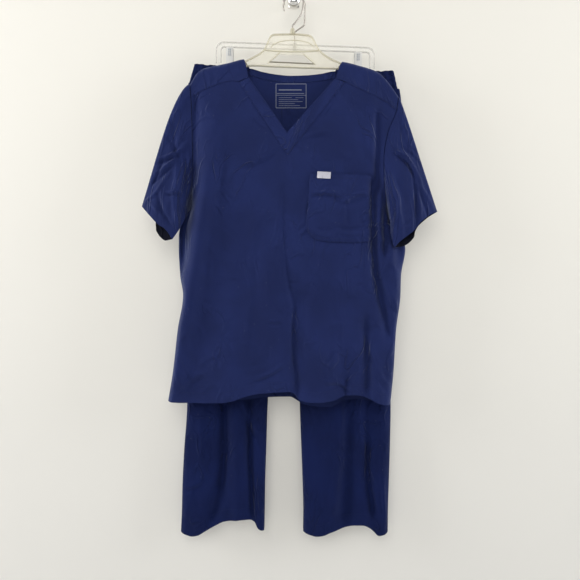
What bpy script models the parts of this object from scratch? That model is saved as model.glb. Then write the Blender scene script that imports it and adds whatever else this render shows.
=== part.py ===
"""A scrub set on the wall: a short-sleeved V-neck top over its trousers, each on a hanger.

Lengths are in millimetres until a mesh is made. The wall is y = 0, the set faces -Y and +Z is up.
The origin is on the back face of the hook's plate. Both hangers' hooks rest on the plate's upper arm.
Every cloth panel is a 2 mm wall along a surface worked out from the tables below.
"""

from math import cos, exp, hypot, pi, radians, sin, sqrt

import bmesh
import bpy
from mathutils import Matrix, Vector

MM = 0.001
CLOTH = 2.0  # thickness of every cloth wall
SEAM_GAP = 0.4  # between two panels' edges
LAYER_GAP = 0.7  # between a panel and what is sewn on it


class Table:
    """Rows under named columns, read as a smooth curve against the first column."""

    def __init__(self, columns, *rows):
        names = columns.split()
        ordered = sorted(rows)
        self.at = [row[0] for row in ordered]
        self.columns = {name: [row[i] for row in ordered] for i, name in enumerate(names)}

    def read(self, column, where):
        at = self.at
        values = self.columns[column]
        last = len(at) - 1
        if where <= at[0]:
            return values[0]
        if where >= at[last]:
            return values[last]
        k = max(i for i in range(last) if at[i] <= where)
        span = at[k + 1] - at[k]
        share = (where - at[k]) / span
        slope = [self.slope(values, k), self.slope(values, k + 1)]
        cube = share * share * (3 - 2 * share)
        start = share * (1 - share) * (1 - share) * span * slope[0]
        end = share * share * (1 - share) * span * slope[1]
        return values[k] + (values[k + 1] - values[k]) * cube + start - end

    def slope(self, values, k):
        """The curve's slope at row k; 0 at a peak or a dip, so that it never overshoots."""
        last = len(values) - 1
        if k in (0, last):
            other = 1 if k == 0 else last - 1
            return (values[other] - values[k]) / (self.at[other] - self.at[k])
        before = (values[k] - values[k - 1]) / (self.at[k] - self.at[k - 1])
        after = (values[k + 1] - values[k]) / (self.at[k + 1] - self.at[k])
        if before * after <= 0:
            return 0.0
        return 2 * before * after / (before + after)


def line(rows, where):
    """Straight runs between the rows of a two-column table, in order of the first column."""
    for (x0, y0), (x1, y1) in zip(rows, rows[1:]):
        if where <= x1:
            return y0 + (y1 - y0) * (where - x0) / (x1 - x0)
    return rows[-1][1]


def mix(start, end, share):
    return start + (end - start) * share


def smooth(start, end, where):
    """0 at start and 1 at end, easing at both."""
    share = min(max((where - start) / (end - start), 0.0), 1.0)
    return share * share * (3 - 2 * share)


def rounding(distance, radius):
    """A quarter circle: 0 on a rolled edge, 1 from a radius inside it."""
    share = min(max(distance / radius, 0.0), 1.0)
    return sqrt(share * (2 - share))


def fold_height(folds, x, z):
    """What the folds in a table add at a point: each is a soft ridge (+) or trough (-) along a line."""
    total = 0.0
    for x0, z0, x1, z1, half_width, height in folds:
        length = hypot(x1 - x0, z1 - z0)
        along = ((x - x0) * (x1 - x0) + (z - z0) * (z1 - z0)) / length
        aside = ((x - x0) * (z1 - z0) - (z - z0) * (x1 - x0)) / length
        fade = smooth(-half_width, half_width, along) * smooth(-half_width, half_width, length - along)
        total += height * fade * exp(-((aside / half_width) ** 2))
    return total


# ---------------------------------------------------------------- meshes and materials


def material(name, colour, roughness, metallic=0.0, alpha=1.0):
    made = bpy.data.materials.new(name)
    made.use_nodes = True
    shader = made.node_tree.nodes["Principled BSDF"]
    shader.inputs["Base Color"].default_value = (*colour, 1.0)
    shader.inputs["Roughness"].default_value = roughness
    shader.inputs["Metallic"].default_value = metallic
    shader.inputs["Alpha"].default_value = alpha
    made.diffuse_color = (*colour, alpha)
    return made


def add_object(name, mesh, finish, sharp_angle=40):
    mesh.shade_smooth()
    mesh.set_sharp_from_angle(angle=radians(sharp_angle))
    mesh.materials.append(finish)
    made = bpy.data.objects.new(name, mesh)
    bpy.context.scene.collection.objects.link(made)
    return made


def mesh_of(name, points, faces):
    """A mesh of points in millimetres, with its faces turned outwards."""
    mesh = bpy.data.meshes.new(name)
    mesh.from_pydata([tuple(Vector(point) * MM) for point in points], [], faces)
    shape = bmesh.new()
    shape.from_mesh(mesh)
    bmesh.ops.recalc_face_normals(shape, faces=shape.faces)
    shape.to_mesh(mesh)
    shape.free()
    return mesh


def grid_normal(place, i, j, columns, rows):
    """The surface's direction at a grid point, from points a little to each side of it."""
    step = 0.004
    low_i, high_i = max(i - step, 0), min(i + step, columns)
    low_j, high_j = max(j - step, 0), min(j + step, rows)
    across = place(high_i, j) - place(low_i, j)
    down = place(i, high_j) - place(i, low_j)
    return across.cross(down).normalized()


def loop_normal(place, i, j, columns, rows):
    """grid_normal on a surface whose last column is its first."""
    return grid_normal(lambda a, b: place(a % columns, b), i + columns, j, 3 * columns, rows)


def cloth_wall(name, place, columns, rows, finish, present=None, thickness=CLOTH, closed=False):
    """A wall round the surface place(i, j), over the cells that present(i, j) keeps.

    place takes any number from 0 to columns and from 0 to rows. closed joins the last column to
    the first.
    """
    keep = present or (lambda i, j: True)
    wrap = (lambda i: i % columns) if closed else (lambda i: i)
    cells = [(i, j) for i in range(columns) for j in range(rows) if keep(i, j)]
    index = {}
    outer = []
    inner = []
    for i, j in cells:
        for corner in ((i, j), (i + 1, j), (i + 1, j + 1), (i, j + 1)):
            spot = (wrap(corner[0]), corner[1])
            if spot in index:
                continue
            index[spot] = len(outer)
            point = place(*spot)
            normal = (loop_normal if closed else grid_normal)(place, *spot, columns, rows)
            outer.append(point + normal * (thickness / 2))
            inner.append(point - normal * (thickness / 2))
    return wall_mesh(name, cells, index, outer, inner, wrap, finish)


def wall_mesh(name, cells, index, outer, inner, wrap, finish):
    """The closed mesh of a wall: its two faces and a rim wherever a cell has no neighbour."""
    shift = len(outer)
    faces = []
    edges = {}
    for i, j in cells:
        corners = [index[(wrap(a), b)] for a, b in ((i, j), (i + 1, j), (i + 1, j + 1), (i, j + 1))]
        faces.append(corners)
        faces.append([corner + shift for corner in reversed(corners)])
        for start, end in zip(corners, corners[1:] + corners[:1]):
            if (end, start) in edges:
                del edges[(end, start)]
            else:
                edges[(start, end)] = True
    for start, end in edges:
        faces.append([end, start, start + shift, end + shift])
    return add_object(name, mesh_of(name, outer + inner, faces), finish, 60)


def tube(name, path, radius, sides, finish=None):
    """A round bar of a path's points, in millimetres, with closed ends."""
    points = [Vector(point) for point in path]
    rings = []
    side = None
    for k, point in enumerate(points):
        ahead = points[min(k + 1, len(points) - 1)]
        behind = points[max(k - 1, 0)]
        along = (ahead - behind).normalized()
        if side is None:
            side = along.orthogonal().normalized()
        side = (side - along * side.dot(along)).normalized()
        other = along.cross(side)
        turn = [2 * pi * s / sides for s in range(sides)]
        rings.append([point + side * (radius * cos(a)) + other * (radius * sin(a)) for a in turn])
    return ring_solid(name, rings, finish)


def ring_solid(name, rings, finish=None):
    """A solid through rings of the same number of points, with flat ends."""
    count = len(rings[0])
    points = [point for ring in rings for point in ring]
    faces = [list(range(count)), list(range(len(points) - count, len(points)))]
    for r in range(len(rings) - 1):
        for k in range(count):
            base = r * count
            after = (k + 1) % count
            faces.append([base + k, base + after, base + count + after, base + count + k])
    mesh = mesh_of(name, points, faces)
    return mesh if finish is None else add_object(name, mesh, finish)


def join_solid(name, meshes, finish):
    """One closed body from meshes that run into each other."""
    whole = add_object(name, meshes[0], finish)
    for k, mesh in enumerate(meshes[1:]):
        piece = bpy.data.objects.new(f"{name}_joined_{k}", mesh)
        bpy.context.scene.collection.objects.link(piece)
        piece.hide_render = True
        piece.display_type = "WIRE"
        union = whole.modifiers.new("union", "BOOLEAN")
        union.operation = "UNION"
        union.object = piece
    return whole


# ---------------------------------------------------------------- the top's form

SHOULDER_Y = -66.0  # the shoulders' crest, over the hanger's arms
CREST_ROUND = 14.0
SIDE_ROUND = 16.0
SHOULDER_REACH = (-420.0, -260.0)  # heights between which the sides come forward to the shoulders

# height of the underarm on each side, and what of the armhole is still rolled above it
UNDERARM_LEFT = -515.0
UNDERARM_RIGHT = -535.0
ARMHOLE_ROLL = 50.0

# Outer edges of the body below the underarm, and the depth of its side seams.
SIDES = Table(
    "z      left    right   seam",
    (-515, -232.0, 208.0, -59),
    (-535, -243.0, 213.5, -59),
    (-543, -246.5, 212.5, -59),
    (-554, -250.5, 225.0, -58),
    (-575, -256.5, 244.0, -57),
    (-602, -258.5, 251.0, -57),
    (-663, -255.0, 241.0, -58),
    (-706, -248.0, 239.5, -59),
    (-784, -259.5, 229.5, -60),
    (-878, -270.0, 223.5, -61),
    (-960, -284.0, 215.0, -61),
)

# Armhole seams from the shoulder's crest down to the underarm: front edge and back edge.
ARMHOLE_LEFT = Table(
    "z      front   back",
    (-240, -230.0, -229.0),
    (-265, -228.0, -228.0),
    (-310, -226.5, -229.0),
    (-350, -225.5, -231.0),
    (-410, -224.5, -232.0),
    (-465, -226.0, -232.0),
    (-515, -232.0, -232.0),
)
ARMHOLE_RIGHT = Table(
    "z      front   back",
    (-263, 233.0, 233.0),
    (-295, 227.0, 230.0),
    (-348, 207.0, 222.0),
    (-400, 199.0, 216.0),
    (-450, 199.5, 212.0),
    (-500, 205.0, 211.0),
    (-535, 213.5, 213.5),
)

# The shoulders' crest, seen from the front.
CREST = Table(
    "x      z",
    (-242, -250),
    (-232, -237),
    (-221, -217),
    (-209, -203),
    (-198, -198),
    (-176, -193),
    (-142, -185.5),
    (-113, -178),
    (0, -172),
    (112, -184),
    (148, -193),
    (177, -202),
    (193, -211),
    (204, -222),
    (215, -236),
    (233, -263),
    (242, -280),
)

# The V: where the neck band starts at each forward shoulder seam, and its points.
BAND_OUTER = {"left": (-123.0, -231.0), "tip": (-14.0, -396.0), "right": (115.0, -231.0)}
BAND_INNER = {"left": (-101.0, -221.0), "tip": (-15.0, -346.0), "right": (93.0, -223.0)}

# The forward shoulder seam, from the armhole to the band, and the band's end.
YOKE_SEAM_LEFT = (
    (-228, -265),
    (-219, -259),
    (-196, -248),
    (-159, -233),
    (-137, -228.5),
    BAND_OUTER["left"],
    BAND_INNER["left"],
)
YOKE_SEAM_RIGHT = (
    BAND_INNER["right"],
    BAND_OUTER["right"],
    (143, -245),
    (186, -265.5),
    (208, -279),
    (227, -295),
)
YOKE_SEAM = YOKE_SEAM_LEFT + YOKE_SEAM_RIGHT
FRONT_TOP = YOKE_SEAM_LEFT[:-1] + (BAND_OUTER["tip"],) + YOKE_SEAM_RIGHT[1:]

# Just below the crest on the back, and the back neckline between the two shoulders.
BACK_TOP = Table(
    "x      z",
    (-226, -246),
    (-212, -222),
    (-176, -210),
    (-142, -203),
    (-121, -198),
    (-99, -194),
    (-72, -201),
    (-40, -207),
    (-6, -210),
    (28, -209),
    (59, -206),
    (93, -200),
    (113, -202),
    (148, -210),
    (177, -220),
    (204, -239),
    (231, -279),
)

FRONT_HEM = Table(
    "x      z",
    (-281, -939),
    (-250, -941),
    (-232, -941.5),
    (-193, -942),
    (-159, -941.5),
    (-134, -938),
    (-112, -930.5),
    (-86, -924),
    (-60, -921),
    (-30, -919),
    (-10, -918.5),
    (0, -922),
    (15, -938),
    (36, -941.5),
    (61, -941.5),
    (91, -937),
    (111, -928.5),
    (135, -926.5),
    (153, -929),
    (175, -938),
    (190, -945.5),
    (208, -948.5),
    (216, -949),
)
BACK_HEM = Table(
    "x      z",
    (-281, -939),
    (-200, -941),
    (-155, -942),
    (-120, -943.5),
    (-63, -937),
    (-8, -936),
    (6, -943),
    (22, -953),
    (52, -958.5),
    (82, -959.5),
    (101, -951),
    (114, -943.5),
    (150, -941.5),
    (175, -945),
    (216, -949),
)

# How far the cloth stands from the wall, away from its edges: left, middle and right.
FRONT_DEPTH = Table(
    "z      left  middle  right",
    (-180, -77, -77, -77),
    (-300, -84, -82, -82),
    (-450, -88, -86, -82),
    (-600, -86, -89, -80),
    (-750, -90, -91, -82),
    (-950, -94, -88, -84),
)
BACK_DEPTH = Table(
    "z      left  middle  right",
    (-180, -55, -55, -55),
    (-300, -53, -54, -53),
    (-600, -51, -50, -51),
    (-950, -52, -51, -52),
)

# Folds of the front: from a point to a point, half width, and height (+ towards the viewer).
FRONT_FOLDS = (
    # x0    z0    x1    z1  half  height
    (-186, -330, -204, -514, 26, 12),
    (-204, -514, -236, -707, 24, 18),
    (-236, -707, -258, -900, 22, 12),
    (-222, -262, -224, -500, 18, -10),
    (-240, -505, -249, -690, 20, -14),
    (189, -270, 190, -400, 20, -7),
    (190, -400, 177, -500, 18, -9),
    (228, -520, 240, -640, 20, -12),
    (177, -500, 186, -690, 18, -10),
    (186, -690, 200, -800, 20, -8),
    (214, -600, 222, -720, 14, 6),
    (-60, -620, -20, -900, 34, 6),
    (4, -700, 8, -925, 20, -6),
    (48, -800, 52, -950, 34, 8),
    (112, -810, 114, -928, 26, -7),
    (175, -860, 188, -955, 26, 8),
    (-150, -800, -165, -950, 45, 7),
    (70, -600, 128, -430, 55, 4),
)
BACK_FOLDS = (
    # x0    z0    x1    z1  half  height
    (-150, -330, -175, -930, 32, -3),
    (-60, -500, -75, -940, 36, 2),
    (20, -420, 30, -930, 34, -3),
    (120, -360, 140, -930, 34, 2),
)


def side_x(side, z):
    """The body's outer edge at a height: -1 is the left side and 1 the right."""
    return SIDES.read("left" if side < 0 else "right", z)


def armhole_open(side, z):
    """1 where the armhole stands open, falling to 0 at the underarm, where front meets back."""
    underarm = UNDERARM_LEFT if side < 0 else UNDERARM_RIGHT
    return smooth(underarm, underarm + ARMHOLE_ROLL, z)


def across_depth(table, x, z):
    """A depth table read at x, as a gentle curve through its left, middle and right columns."""
    share = min(max(x / 250.0, -1.0), 1.0)
    left, middle, right = (table.read(name, z) for name in ("left", "middle", "right"))
    return middle + share * (right - left) / 2 + share * share * ((right + left) / 2 - middle)


def top_y(x, z, face, inset=SIDE_ROUND):
    """The top's depth at a point: face -1 is the front layer, and 1 the back one.

    inset is how far the point is from the end of its row, where the cloth rolls to the side seam.
    """
    side = -1 if x < 0 else 1
    seam = SIDES.read("seam", z)
    full = across_depth(FRONT_DEPTH if face < 0 else BACK_DEPTH, x, z)
    folds = fold_height(FRONT_FOLDS if face < 0 else BACK_FOLDS, x, z)
    full -= folds
    opened = armhole_open(side, z)
    edge = opened + (1 - opened) * rounding(inset, SIDE_ROUND)
    crest = rounding(CREST.read("z", x) - z, CREST_ROUND)
    base = mix(seam, SHOULDER_Y, smooth(*SHOULDER_REACH, z))
    return base + face * SEAM_GAP / 2 + (full - base) * edge * crest


# ---------------------------------------------------------------- the top's panels

SIDE_COLUMNS = 7
NECK_COLUMNS = 5
ARMHOLE_ROWS = 7
SKIRT_ROWS = 11
YOKE_ROWS = 4
TURN_ROWS = 2
SLEEVE_RINGS = 7


def front_x(i, j):
    """x of a front grid point: columns run from side to band to centre to band to side."""
    neck = (BAND_OUTER["left"][0], BAND_OUTER["tip"][0], BAND_OUTER["right"][0])
    last = 2 * (SIDE_COLUMNS + NECK_COLUMNS)
    if i <= SIDE_COLUMNS:
        share = i / SIDE_COLUMNS
        return mix(front_edge_x(-1, j), neck[0], 1 - cos(pi / 2 * share))
    if i <= SIDE_COLUMNS + NECK_COLUMNS:
        return mix(neck[0], neck[1], (i - SIDE_COLUMNS) / NECK_COLUMNS)
    if i <= last - SIDE_COLUMNS:
        return mix(neck[1], neck[2], (i - SIDE_COLUMNS - NECK_COLUMNS) / NECK_COLUMNS)
    share = (last - i) / SIDE_COLUMNS
    return mix(front_edge_x(1, j), neck[2], 1 - cos(pi / 2 * share))


def armhole_share(j):
    """How far down the armhole a row is, with the rows closer together near the underarm."""
    return sin(pi / 2 * min(j / ARMHOLE_ROWS, 1.0))


def edge_z(side, j, top, hem):
    """Height of a row's end: on the armhole seam, and then on the side seam."""
    underarm = UNDERARM_LEFT if side < 0 else UNDERARM_RIGHT
    if j <= ARMHOLE_ROWS:
        return mix(top, underarm, armhole_share(j))
    return mix(underarm, hem, (j - ARMHOLE_ROWS) / SKIRT_ROWS)


def front_edge_x(side, j):
    if side < 0:
        z = edge_z(side, j, YOKE_SEAM_LEFT[0][1], FRONT_HEM.read("z", HEM_CORNERS["left"]))
        armhole = ARMHOLE_LEFT
    else:
        z = edge_z(side, j, YOKE_SEAM_RIGHT[-1][1], FRONT_HEM.read("z", HEM_CORNERS["right"]))
        armhole = ARMHOLE_RIGHT
    return armhole.read("front", z) if j <= ARMHOLE_ROWS else side_x(side, z)


def column_z(top, x_under, hem, j):
    """Height of a grid point between its column's top and hem, level with the underarms between."""
    left, right = side_x(-1, UNDERARM_LEFT), side_x(1, UNDERARM_RIGHT)
    underarm = mix(UNDERARM_LEFT, UNDERARM_RIGHT, (x_under - left) / (right - left))
    if j <= ARMHOLE_ROWS:
        return mix(top, underarm, armhole_share(j))
    return mix(underarm, hem, (j - ARMHOLE_ROWS) / SKIRT_ROWS)


def front_point(i, j):
    rows = ARMHOLE_ROWS + SKIRT_ROWS
    x = front_x(i, j)
    top = line(FRONT_TOP, front_x(i, 0)) - SEAM_GAP / 2
    hem = FRONT_HEM.read("z", front_x(i, rows))
    z = column_z(top, front_x(i, ARMHOLE_ROWS), hem, j)
    inset = abs(x - front_edge_x(-1 if x < 0 else 1, j))
    return Vector((x, top_y(x, z, -1, inset), z))


# Columns of the back beside the neck (outer and inner x), and of its outer edge: just behind the
# crest, on the crest, and at the forward seam. The strip beside the neck is NECK_STRIP wide.
BACK_NECK = {"left": (-121.0, -99.0), "middle": -5.0, "right": (113.0, 93.0)}
NECK_ON_CREST = {"left": -113.5, "right": 112.0}
NECK_STRIP = 16.0
BACK_EDGE = {"left": (-226.0, -230.0, -228.0), "right": (231.0, 233.0, 227.0)}
HEM_CORNERS = {"left": -281.0, "right": 215.5}  # where the side seams reach the hems


def back_x(i, j):
    """x of a back grid point; j is negative on the yoke, above BACK_TOP and over the crest."""
    last = 2 * (SIDE_COLUMNS + 1 + NECK_COLUMNS)
    side, name = (1, "right") if i > last / 2 else (-1, "left")
    k = min(i, last - i)
    outer, inner = BACK_NECK[name]
    edge = back_edge_x(side, j)
    if j < 0:
        turned = min(-j / TURN_ROWS, 1.0)
        forward = min(max((-j - TURN_ROWS) / YOKE_ROWS, 0.0), 1.0)
        inner = mix(mix(inner, NECK_ON_CREST[name], turned), BAND_INNER[name][0], forward)
        crest_outer = NECK_ON_CREST[name] + side * NECK_STRIP
        outer = mix(mix(outer, crest_outer, turned), BAND_OUTER[name][0], forward)
    if k <= SIDE_COLUMNS:
        return mix(edge, outer, 1 - cos(pi / 2 * k / SIDE_COLUMNS))
    if k <= SIDE_COLUMNS + 1:
        return mix(outer, inner, k - SIDE_COLUMNS)
    return mix(inner, BACK_NECK["middle"], (k - SIDE_COLUMNS - 1) / NECK_COLUMNS)


def back_edge_x(side, j):
    armhole = ARMHOLE_LEFT if side < 0 else ARMHOLE_RIGHT
    base_x, crest_x, seam_x = BACK_EDGE["left" if side < 0 else "right"]
    if j < 0:
        turned = min(-j / TURN_ROWS, 1.0)
        forward = min(max((-j - TURN_ROWS) / YOKE_ROWS, 0.0), 1.0)
        return mix(mix(base_x, crest_x, turned), seam_x, 1 - cos(pi / 2 * forward))
    hem = BACK_HEM.read("z", HEM_CORNERS["left" if side < 0 else "right"])
    z = edge_z(side, j, BACK_TOP.read("z", base_x), hem)
    if j > ARMHOLE_ROWS:
        return side_x(side, z)
    return mix(base_x, armhole.read("back", z), min(1.0, j))


def back_point(i, j):
    """j runs from the forward seam (below 0) over the crest to BACK_TOP (0), and on to the hem."""
    x = back_x(i, j)
    inset = abs(x - back_edge_x(-1 if x < 0 else 1, j))
    if j < 0:
        crest = CREST.read("z", x)
        if -j <= TURN_ROWS:
            share = 1 - cos(pi / 2 * (1 + j / TURN_ROWS))
            z = mix(crest, BACK_TOP.read("z", back_x(i, 0)), share)
            return Vector((x, top_y(x, z, 1, inset), z))
        share = 1 - cos(pi / 2 * (-j - TURN_ROWS) / YOKE_ROWS)
        seam = line(YOKE_SEAM, back_x(i, -TURN_ROWS - YOKE_ROWS)) + SEAM_GAP / 2
        z = mix(crest, seam, share)
        return Vector((x, top_y(x, z, -1, inset), z))
    rows = ARMHOLE_ROWS + SKIRT_ROWS
    top = BACK_TOP.read("z", back_x(i, 0))
    hem = BACK_HEM.read("z", back_x(i, rows))
    z = column_z(top, back_x(i, ARMHOLE_ROWS), hem, j)
    return Vector((x, top_y(x, z, 1, inset), z))


def back_grid_point(i, j):
    return back_point(i, j - TURN_ROWS - YOKE_ROWS)


def back_present(i, j):
    """The yoke's cells reach over the shoulders only, outside the neck."""
    last = 2 * (SIDE_COLUMNS + 1 + NECK_COLUMNS)
    outside_neck = i <= SIDE_COLUMNS or i >= last - SIDE_COLUMNS - 1
    return j >= TURN_ROWS + YOKE_ROWS or outside_neck


# ---------------------------------------------------------------- sleeves

SLEEVES = {
    # the cuff's outer and inner corner (x, z) and the depth at each, half its thickness, and how
    # far the outer edge swells between shoulder and cuff
    "left": {"outer": (-338, -508), "inner": (-266, -583), "depth": (-74, -85), "half": 14, "swell": 17},
    "right": {"outer": (319, -520), "inner": (221, -600), "depth": (-75, -93), "half": 15, "swell": 2},
}
# How far the cuff's front and back edges hang below the straight line between its two corners.
CUFFS = {
    "left": Table(
        "share  front  back",
        (0.00, 0.0, 0.0),
        (0.40, 0.0, 1.0),
        (0.50, 0.0, 8.0),
        (0.60, -1.0, 15.0),
        (0.75, -4.5, 17.0),
        (0.88, -3.0, 15.0),
        (1.00, 0.0, 0.0),
    ),
    "right": Table(
        "share  front  back",
        (0.00, 0.0, 0.0),
        (0.20, -6.0, -3.0),
        (0.37, -6.5, -2.0),
        (0.50, -3.0, 3.0),
        (0.60, -1.5, 12.0),
        (0.72, -2.0, 14.0),
        (0.84, -2.5, 12.0),
        (1.00, 0.0, 0.0),
    ),
}
INNER_EDGE_SWING = -5.0  # the inner edge hangs towards the body
INNER_EDGE_FORWARD = 16.0  # and comes forward round the side of the body
BODY_SWELL = 5.0  # how much thicker the sleeve is halfway down
RING_SPREAD = 1.15  # above 1, the rings are closer together at the armhole
TURNED_RINGS = 2.5  # over these rings the wall turns from the armhole's direction to its own


def armhole_loop(side):
    """The armhole's points, their normals and their share of the way down, round from the crest.

    Each is a vertex of the front panel or of the back panel, so the sleeve's seam follows both.
    """
    front_i = 0 if side < 0 else 2 * (SIDE_COLUMNS + NECK_COLUMNS)
    back_i = 0 if side < 0 else 2 * (SIDE_COLUMNS + 1 + NECK_COLUMNS)
    front_size = (2 * (SIDE_COLUMNS + NECK_COLUMNS), ARMHOLE_ROWS + SKIRT_ROWS)
    back_size = (2 * (SIDE_COLUMNS + 1 + NECK_COLUMNS), ARMHOLE_ROWS + SKIRT_ROWS + TURN_ROWS + YOKE_ROWS)
    loop = []
    for j in range(YOKE_ROWS, 0, -1):
        point = back_grid_point(back_i, j)
        loop.append((point, grid_normal(back_grid_point, back_i, j, *back_size), -1))
    for j in range(0, ARMHOLE_ROWS + 1):
        point = front_point(front_i, j)
        loop.append((point, grid_normal(front_point, front_i, j, *front_size), -1))
    for j in range(ARMHOLE_ROWS - 1, -TURN_ROWS, -1):
        row = j + TURN_ROWS + YOKE_ROWS
        point = back_grid_point(back_i, row)
        loop.append((point, grid_normal(back_grid_point, back_i, row, *back_size), 1))
    top = loop[0][0].z
    bottom = min(point.z for point, normal, face in loop)
    return [(point, normal, face, (top - point.z) / (top - bottom)) for point, normal, face in loop]


def cuff_point(sleeve, face, share):
    """A point on the cuff's edge, share of the way from its outer to its inner corner."""
    (x0, z0), (x1, z1) = sleeve["outer"], sleeve["inner"]
    length = hypot(x1 - x0, z1 - z0)
    bow = sin(pi * share)
    side, name = (-1, "left") if x0 < 0 else (1, "right")
    drop = CUFFS[name].read("back" if face > 0 else "front", share)
    x = mix(x0, x1, share) + side * drop * abs(z1 - z0) / length
    z = mix(z0, z1, share) - drop * abs(x1 - x0) / length
    y = mix(*sleeve["depth"], share) + face * sleeve["half"] * bow ** 0.6
    return Vector((x, y, z))


def sleeve_point(sleeve, entry, t):
    """A point t of the way down from the armhole to the cuff, along one line of the sleeve."""
    start, normal, face, share = entry
    side = -1 if start.x < 0 else 1
    lap = SEAM_GAP * 2 + CLOTH * 1.15 * abs(normal.x)
    start = start + Vector((side * lap, 0, 0))
    point = start.lerp(cuff_point(sleeve, face, share), t)
    hump = sin(pi * t)
    point.x += side * sleeve["swell"] * sin(pi * sqrt(t)) * (1 - share)
    point.x += side * INNER_EDGE_SWING * hump * max(0.0, 2 * share - 1)
    point.y += face * BODY_SWELL * hump * sin(pi * share)
    point.y -= INNER_EDGE_FORWARD * sin(pi * sqrt(t)) * max(0.0, 2 * share - 1)
    return point


def sleeve_wall(name, side, finish):
    sleeve = SLEEVES["left" if side < 0 else "right"]
    loop = armhole_loop(side)
    count = len(loop)

    def place(i, j):
        low = int(i) % count
        share = i - int(i)
        entry, after = loop[low], loop[(low + 1) % count]
        t = (j / SLEEVE_RINGS) ** RING_SPREAD
        return sleeve_point(sleeve, entry, t).lerp(sleeve_point(sleeve, after, t), share)

    outer = []
    inner = []
    index = {}
    for j in range(SLEEVE_RINGS + 1):
        for i in range(count):
            index[(i, j)] = len(outer)
            before, after = place((i - 1) % count, j), place((i + 1) % count, j)
            down = place(i, min(j + 0.2, SLEEVE_RINGS)) - place(i, max(j - 0.2, 0))
            own = (after - before).cross(down).normalized()
            seam = loop[i][1]
            guide = seam if j < TURNED_RINGS else place(i, j) - sleeve_middle(place, count, j)
            if own.dot(guide) < 0:
                own = -own
            normal = seam.lerp(own, smooth(0, TURNED_RINGS, j)).normalized()
            outer.append(place(i, j) + normal * (CLOTH / 2))
            inner.append(place(i, j) - normal * (CLOTH / 2))
    cells = [(i, j) for i in range(count) for j in range(SLEEVE_RINGS)]
    return wall_mesh(name, cells, index, outer, inner, lambda i: i % count, finish)


def sleeve_middle(place, count, j):
    total = Vector()
    for i in range(count):
        total += place(i, j)
    return total / count


# ---------------------------------------------------------------- neck band, pocket and label

BAND_END_GAP = 0.004  # the share of each half of the band left clear at the shoulder seam
BINDING_DEEP = 0.12  # rows of the back panel that the back neck binding covers
BINDING_THICK = 1.0
POCKET_THICK = 1.6
POCKET_COLUMNS = 8
POCKET_ROWS = 8
POCKET_MOUTH = 3.0  # how far the pocket's top edge stands open
POCKET_STRETCH = 1.6  # its right edge bridges the trough beside it
LABEL_THICK = 0.9

# The pocket's sides, and its bottom edge with the two rounded corners.
POCKET_SIDES = Table(
    "z      left   right",
    (-440, 36.0, 170.5),
    (-498, 32.5, 172.0),
    (-545, 28.0, 173.5),
    (-590, 34.0, 174.0),
)
POCKET_BOTTOM = Table(
    "share  z",
    (0.00, -564),
    (0.05, -578),
    (0.14, -585),
    (0.35, -589),
    (0.65, -590),
    (0.92, -588),
    (0.97, -582),
    (1.00, -570),
)
POCKET_TOP = (-438.0, -442.0)  # height at its left and right corner
LABEL = {"centre": (65.0, -444.5), "size": (29.0, 14.5), "turn": -4.0}


def band_point(i, j):
    """The V band: columns from its left end by the point to its right end; j is 0 on the inner edge."""
    share = mix(BAND_END_GAP, 2 - BAND_END_GAP, i / (2 * NECK_COLUMNS))
    side = "left" if share < 1 else "right"
    to_tip = share if share < 1 else 2 - share
    outer_x = mix(BAND_OUTER[side][0], BAND_OUTER["tip"][0], to_tip)
    outer_z = mix(BAND_OUTER[side][1], BAND_OUTER["tip"][1], to_tip) + SEAM_GAP
    inner_x = mix(BAND_INNER[side][0], BAND_INNER["tip"][0], to_tip)
    inner_z = mix(BAND_INNER[side][1], BAND_INNER["tip"][1], to_tip)
    x, z = mix(inner_x, outer_x, j / 2), mix(inner_z, outer_z, j / 2)
    return Vector((x, top_y(x, z, -1), z))


def binding_point(i, j):
    """The strip inside the back neckline, on the panel's points moved into the neck."""
    first = SIDE_COLUMNS + 1
    row = TURN_ROWS + YOKE_ROWS + j * BINDING_DEEP
    point = back_grid_point(first + i, row)
    return point - Vector((0, CLOTH / 2 + LAYER_GAP + BINDING_THICK / 2, 0))


def pocket_point(i, j):
    share = i / POCKET_COLUMNS
    down = j / POCKET_ROWS
    z = mix(mix(*POCKET_TOP, share), POCKET_BOTTOM.read("z", share), down)
    x = mix(POCKET_SIDES.read("left", z), POCKET_SIDES.read("right", z), share)
    lift = CLOTH / 2 + LAYER_GAP + POCKET_THICK / 2
    lift += POCKET_MOUTH * sin(pi * share) * (1 - down) ** 2 + POCKET_STRETCH * smooth(0.8, 1.0, share)
    return Vector((x, top_y(x, z, -1) - lift, z))


def label_point(i, j):
    """The label's grid is 2 by 2, turned a little, on the pocket's top hem."""
    width, height = LABEL["size"]
    turn = radians(LABEL["turn"])
    across, up = (i / 2 - 0.5) * width, (0.5 - j / 2) * height
    x = LABEL["centre"][0] + across * cos(turn) - up * sin(turn)
    z = LABEL["centre"][1] + across * sin(turn) + up * cos(turn)
    left, right = POCKET_SIDES.read("left", z), POCKET_SIDES.read("right", z)
    share = (x - left) / (right - left)
    lift = CLOTH / 2 + LAYER_GAP + POCKET_THICK + POCKET_MOUTH * sin(pi * share)
    return Vector((x, top_y(x, z, -1) - lift - LAYER_GAP - LABEL_THICK / 2, z))


# ---------------------------------------------------------------- trousers

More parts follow.
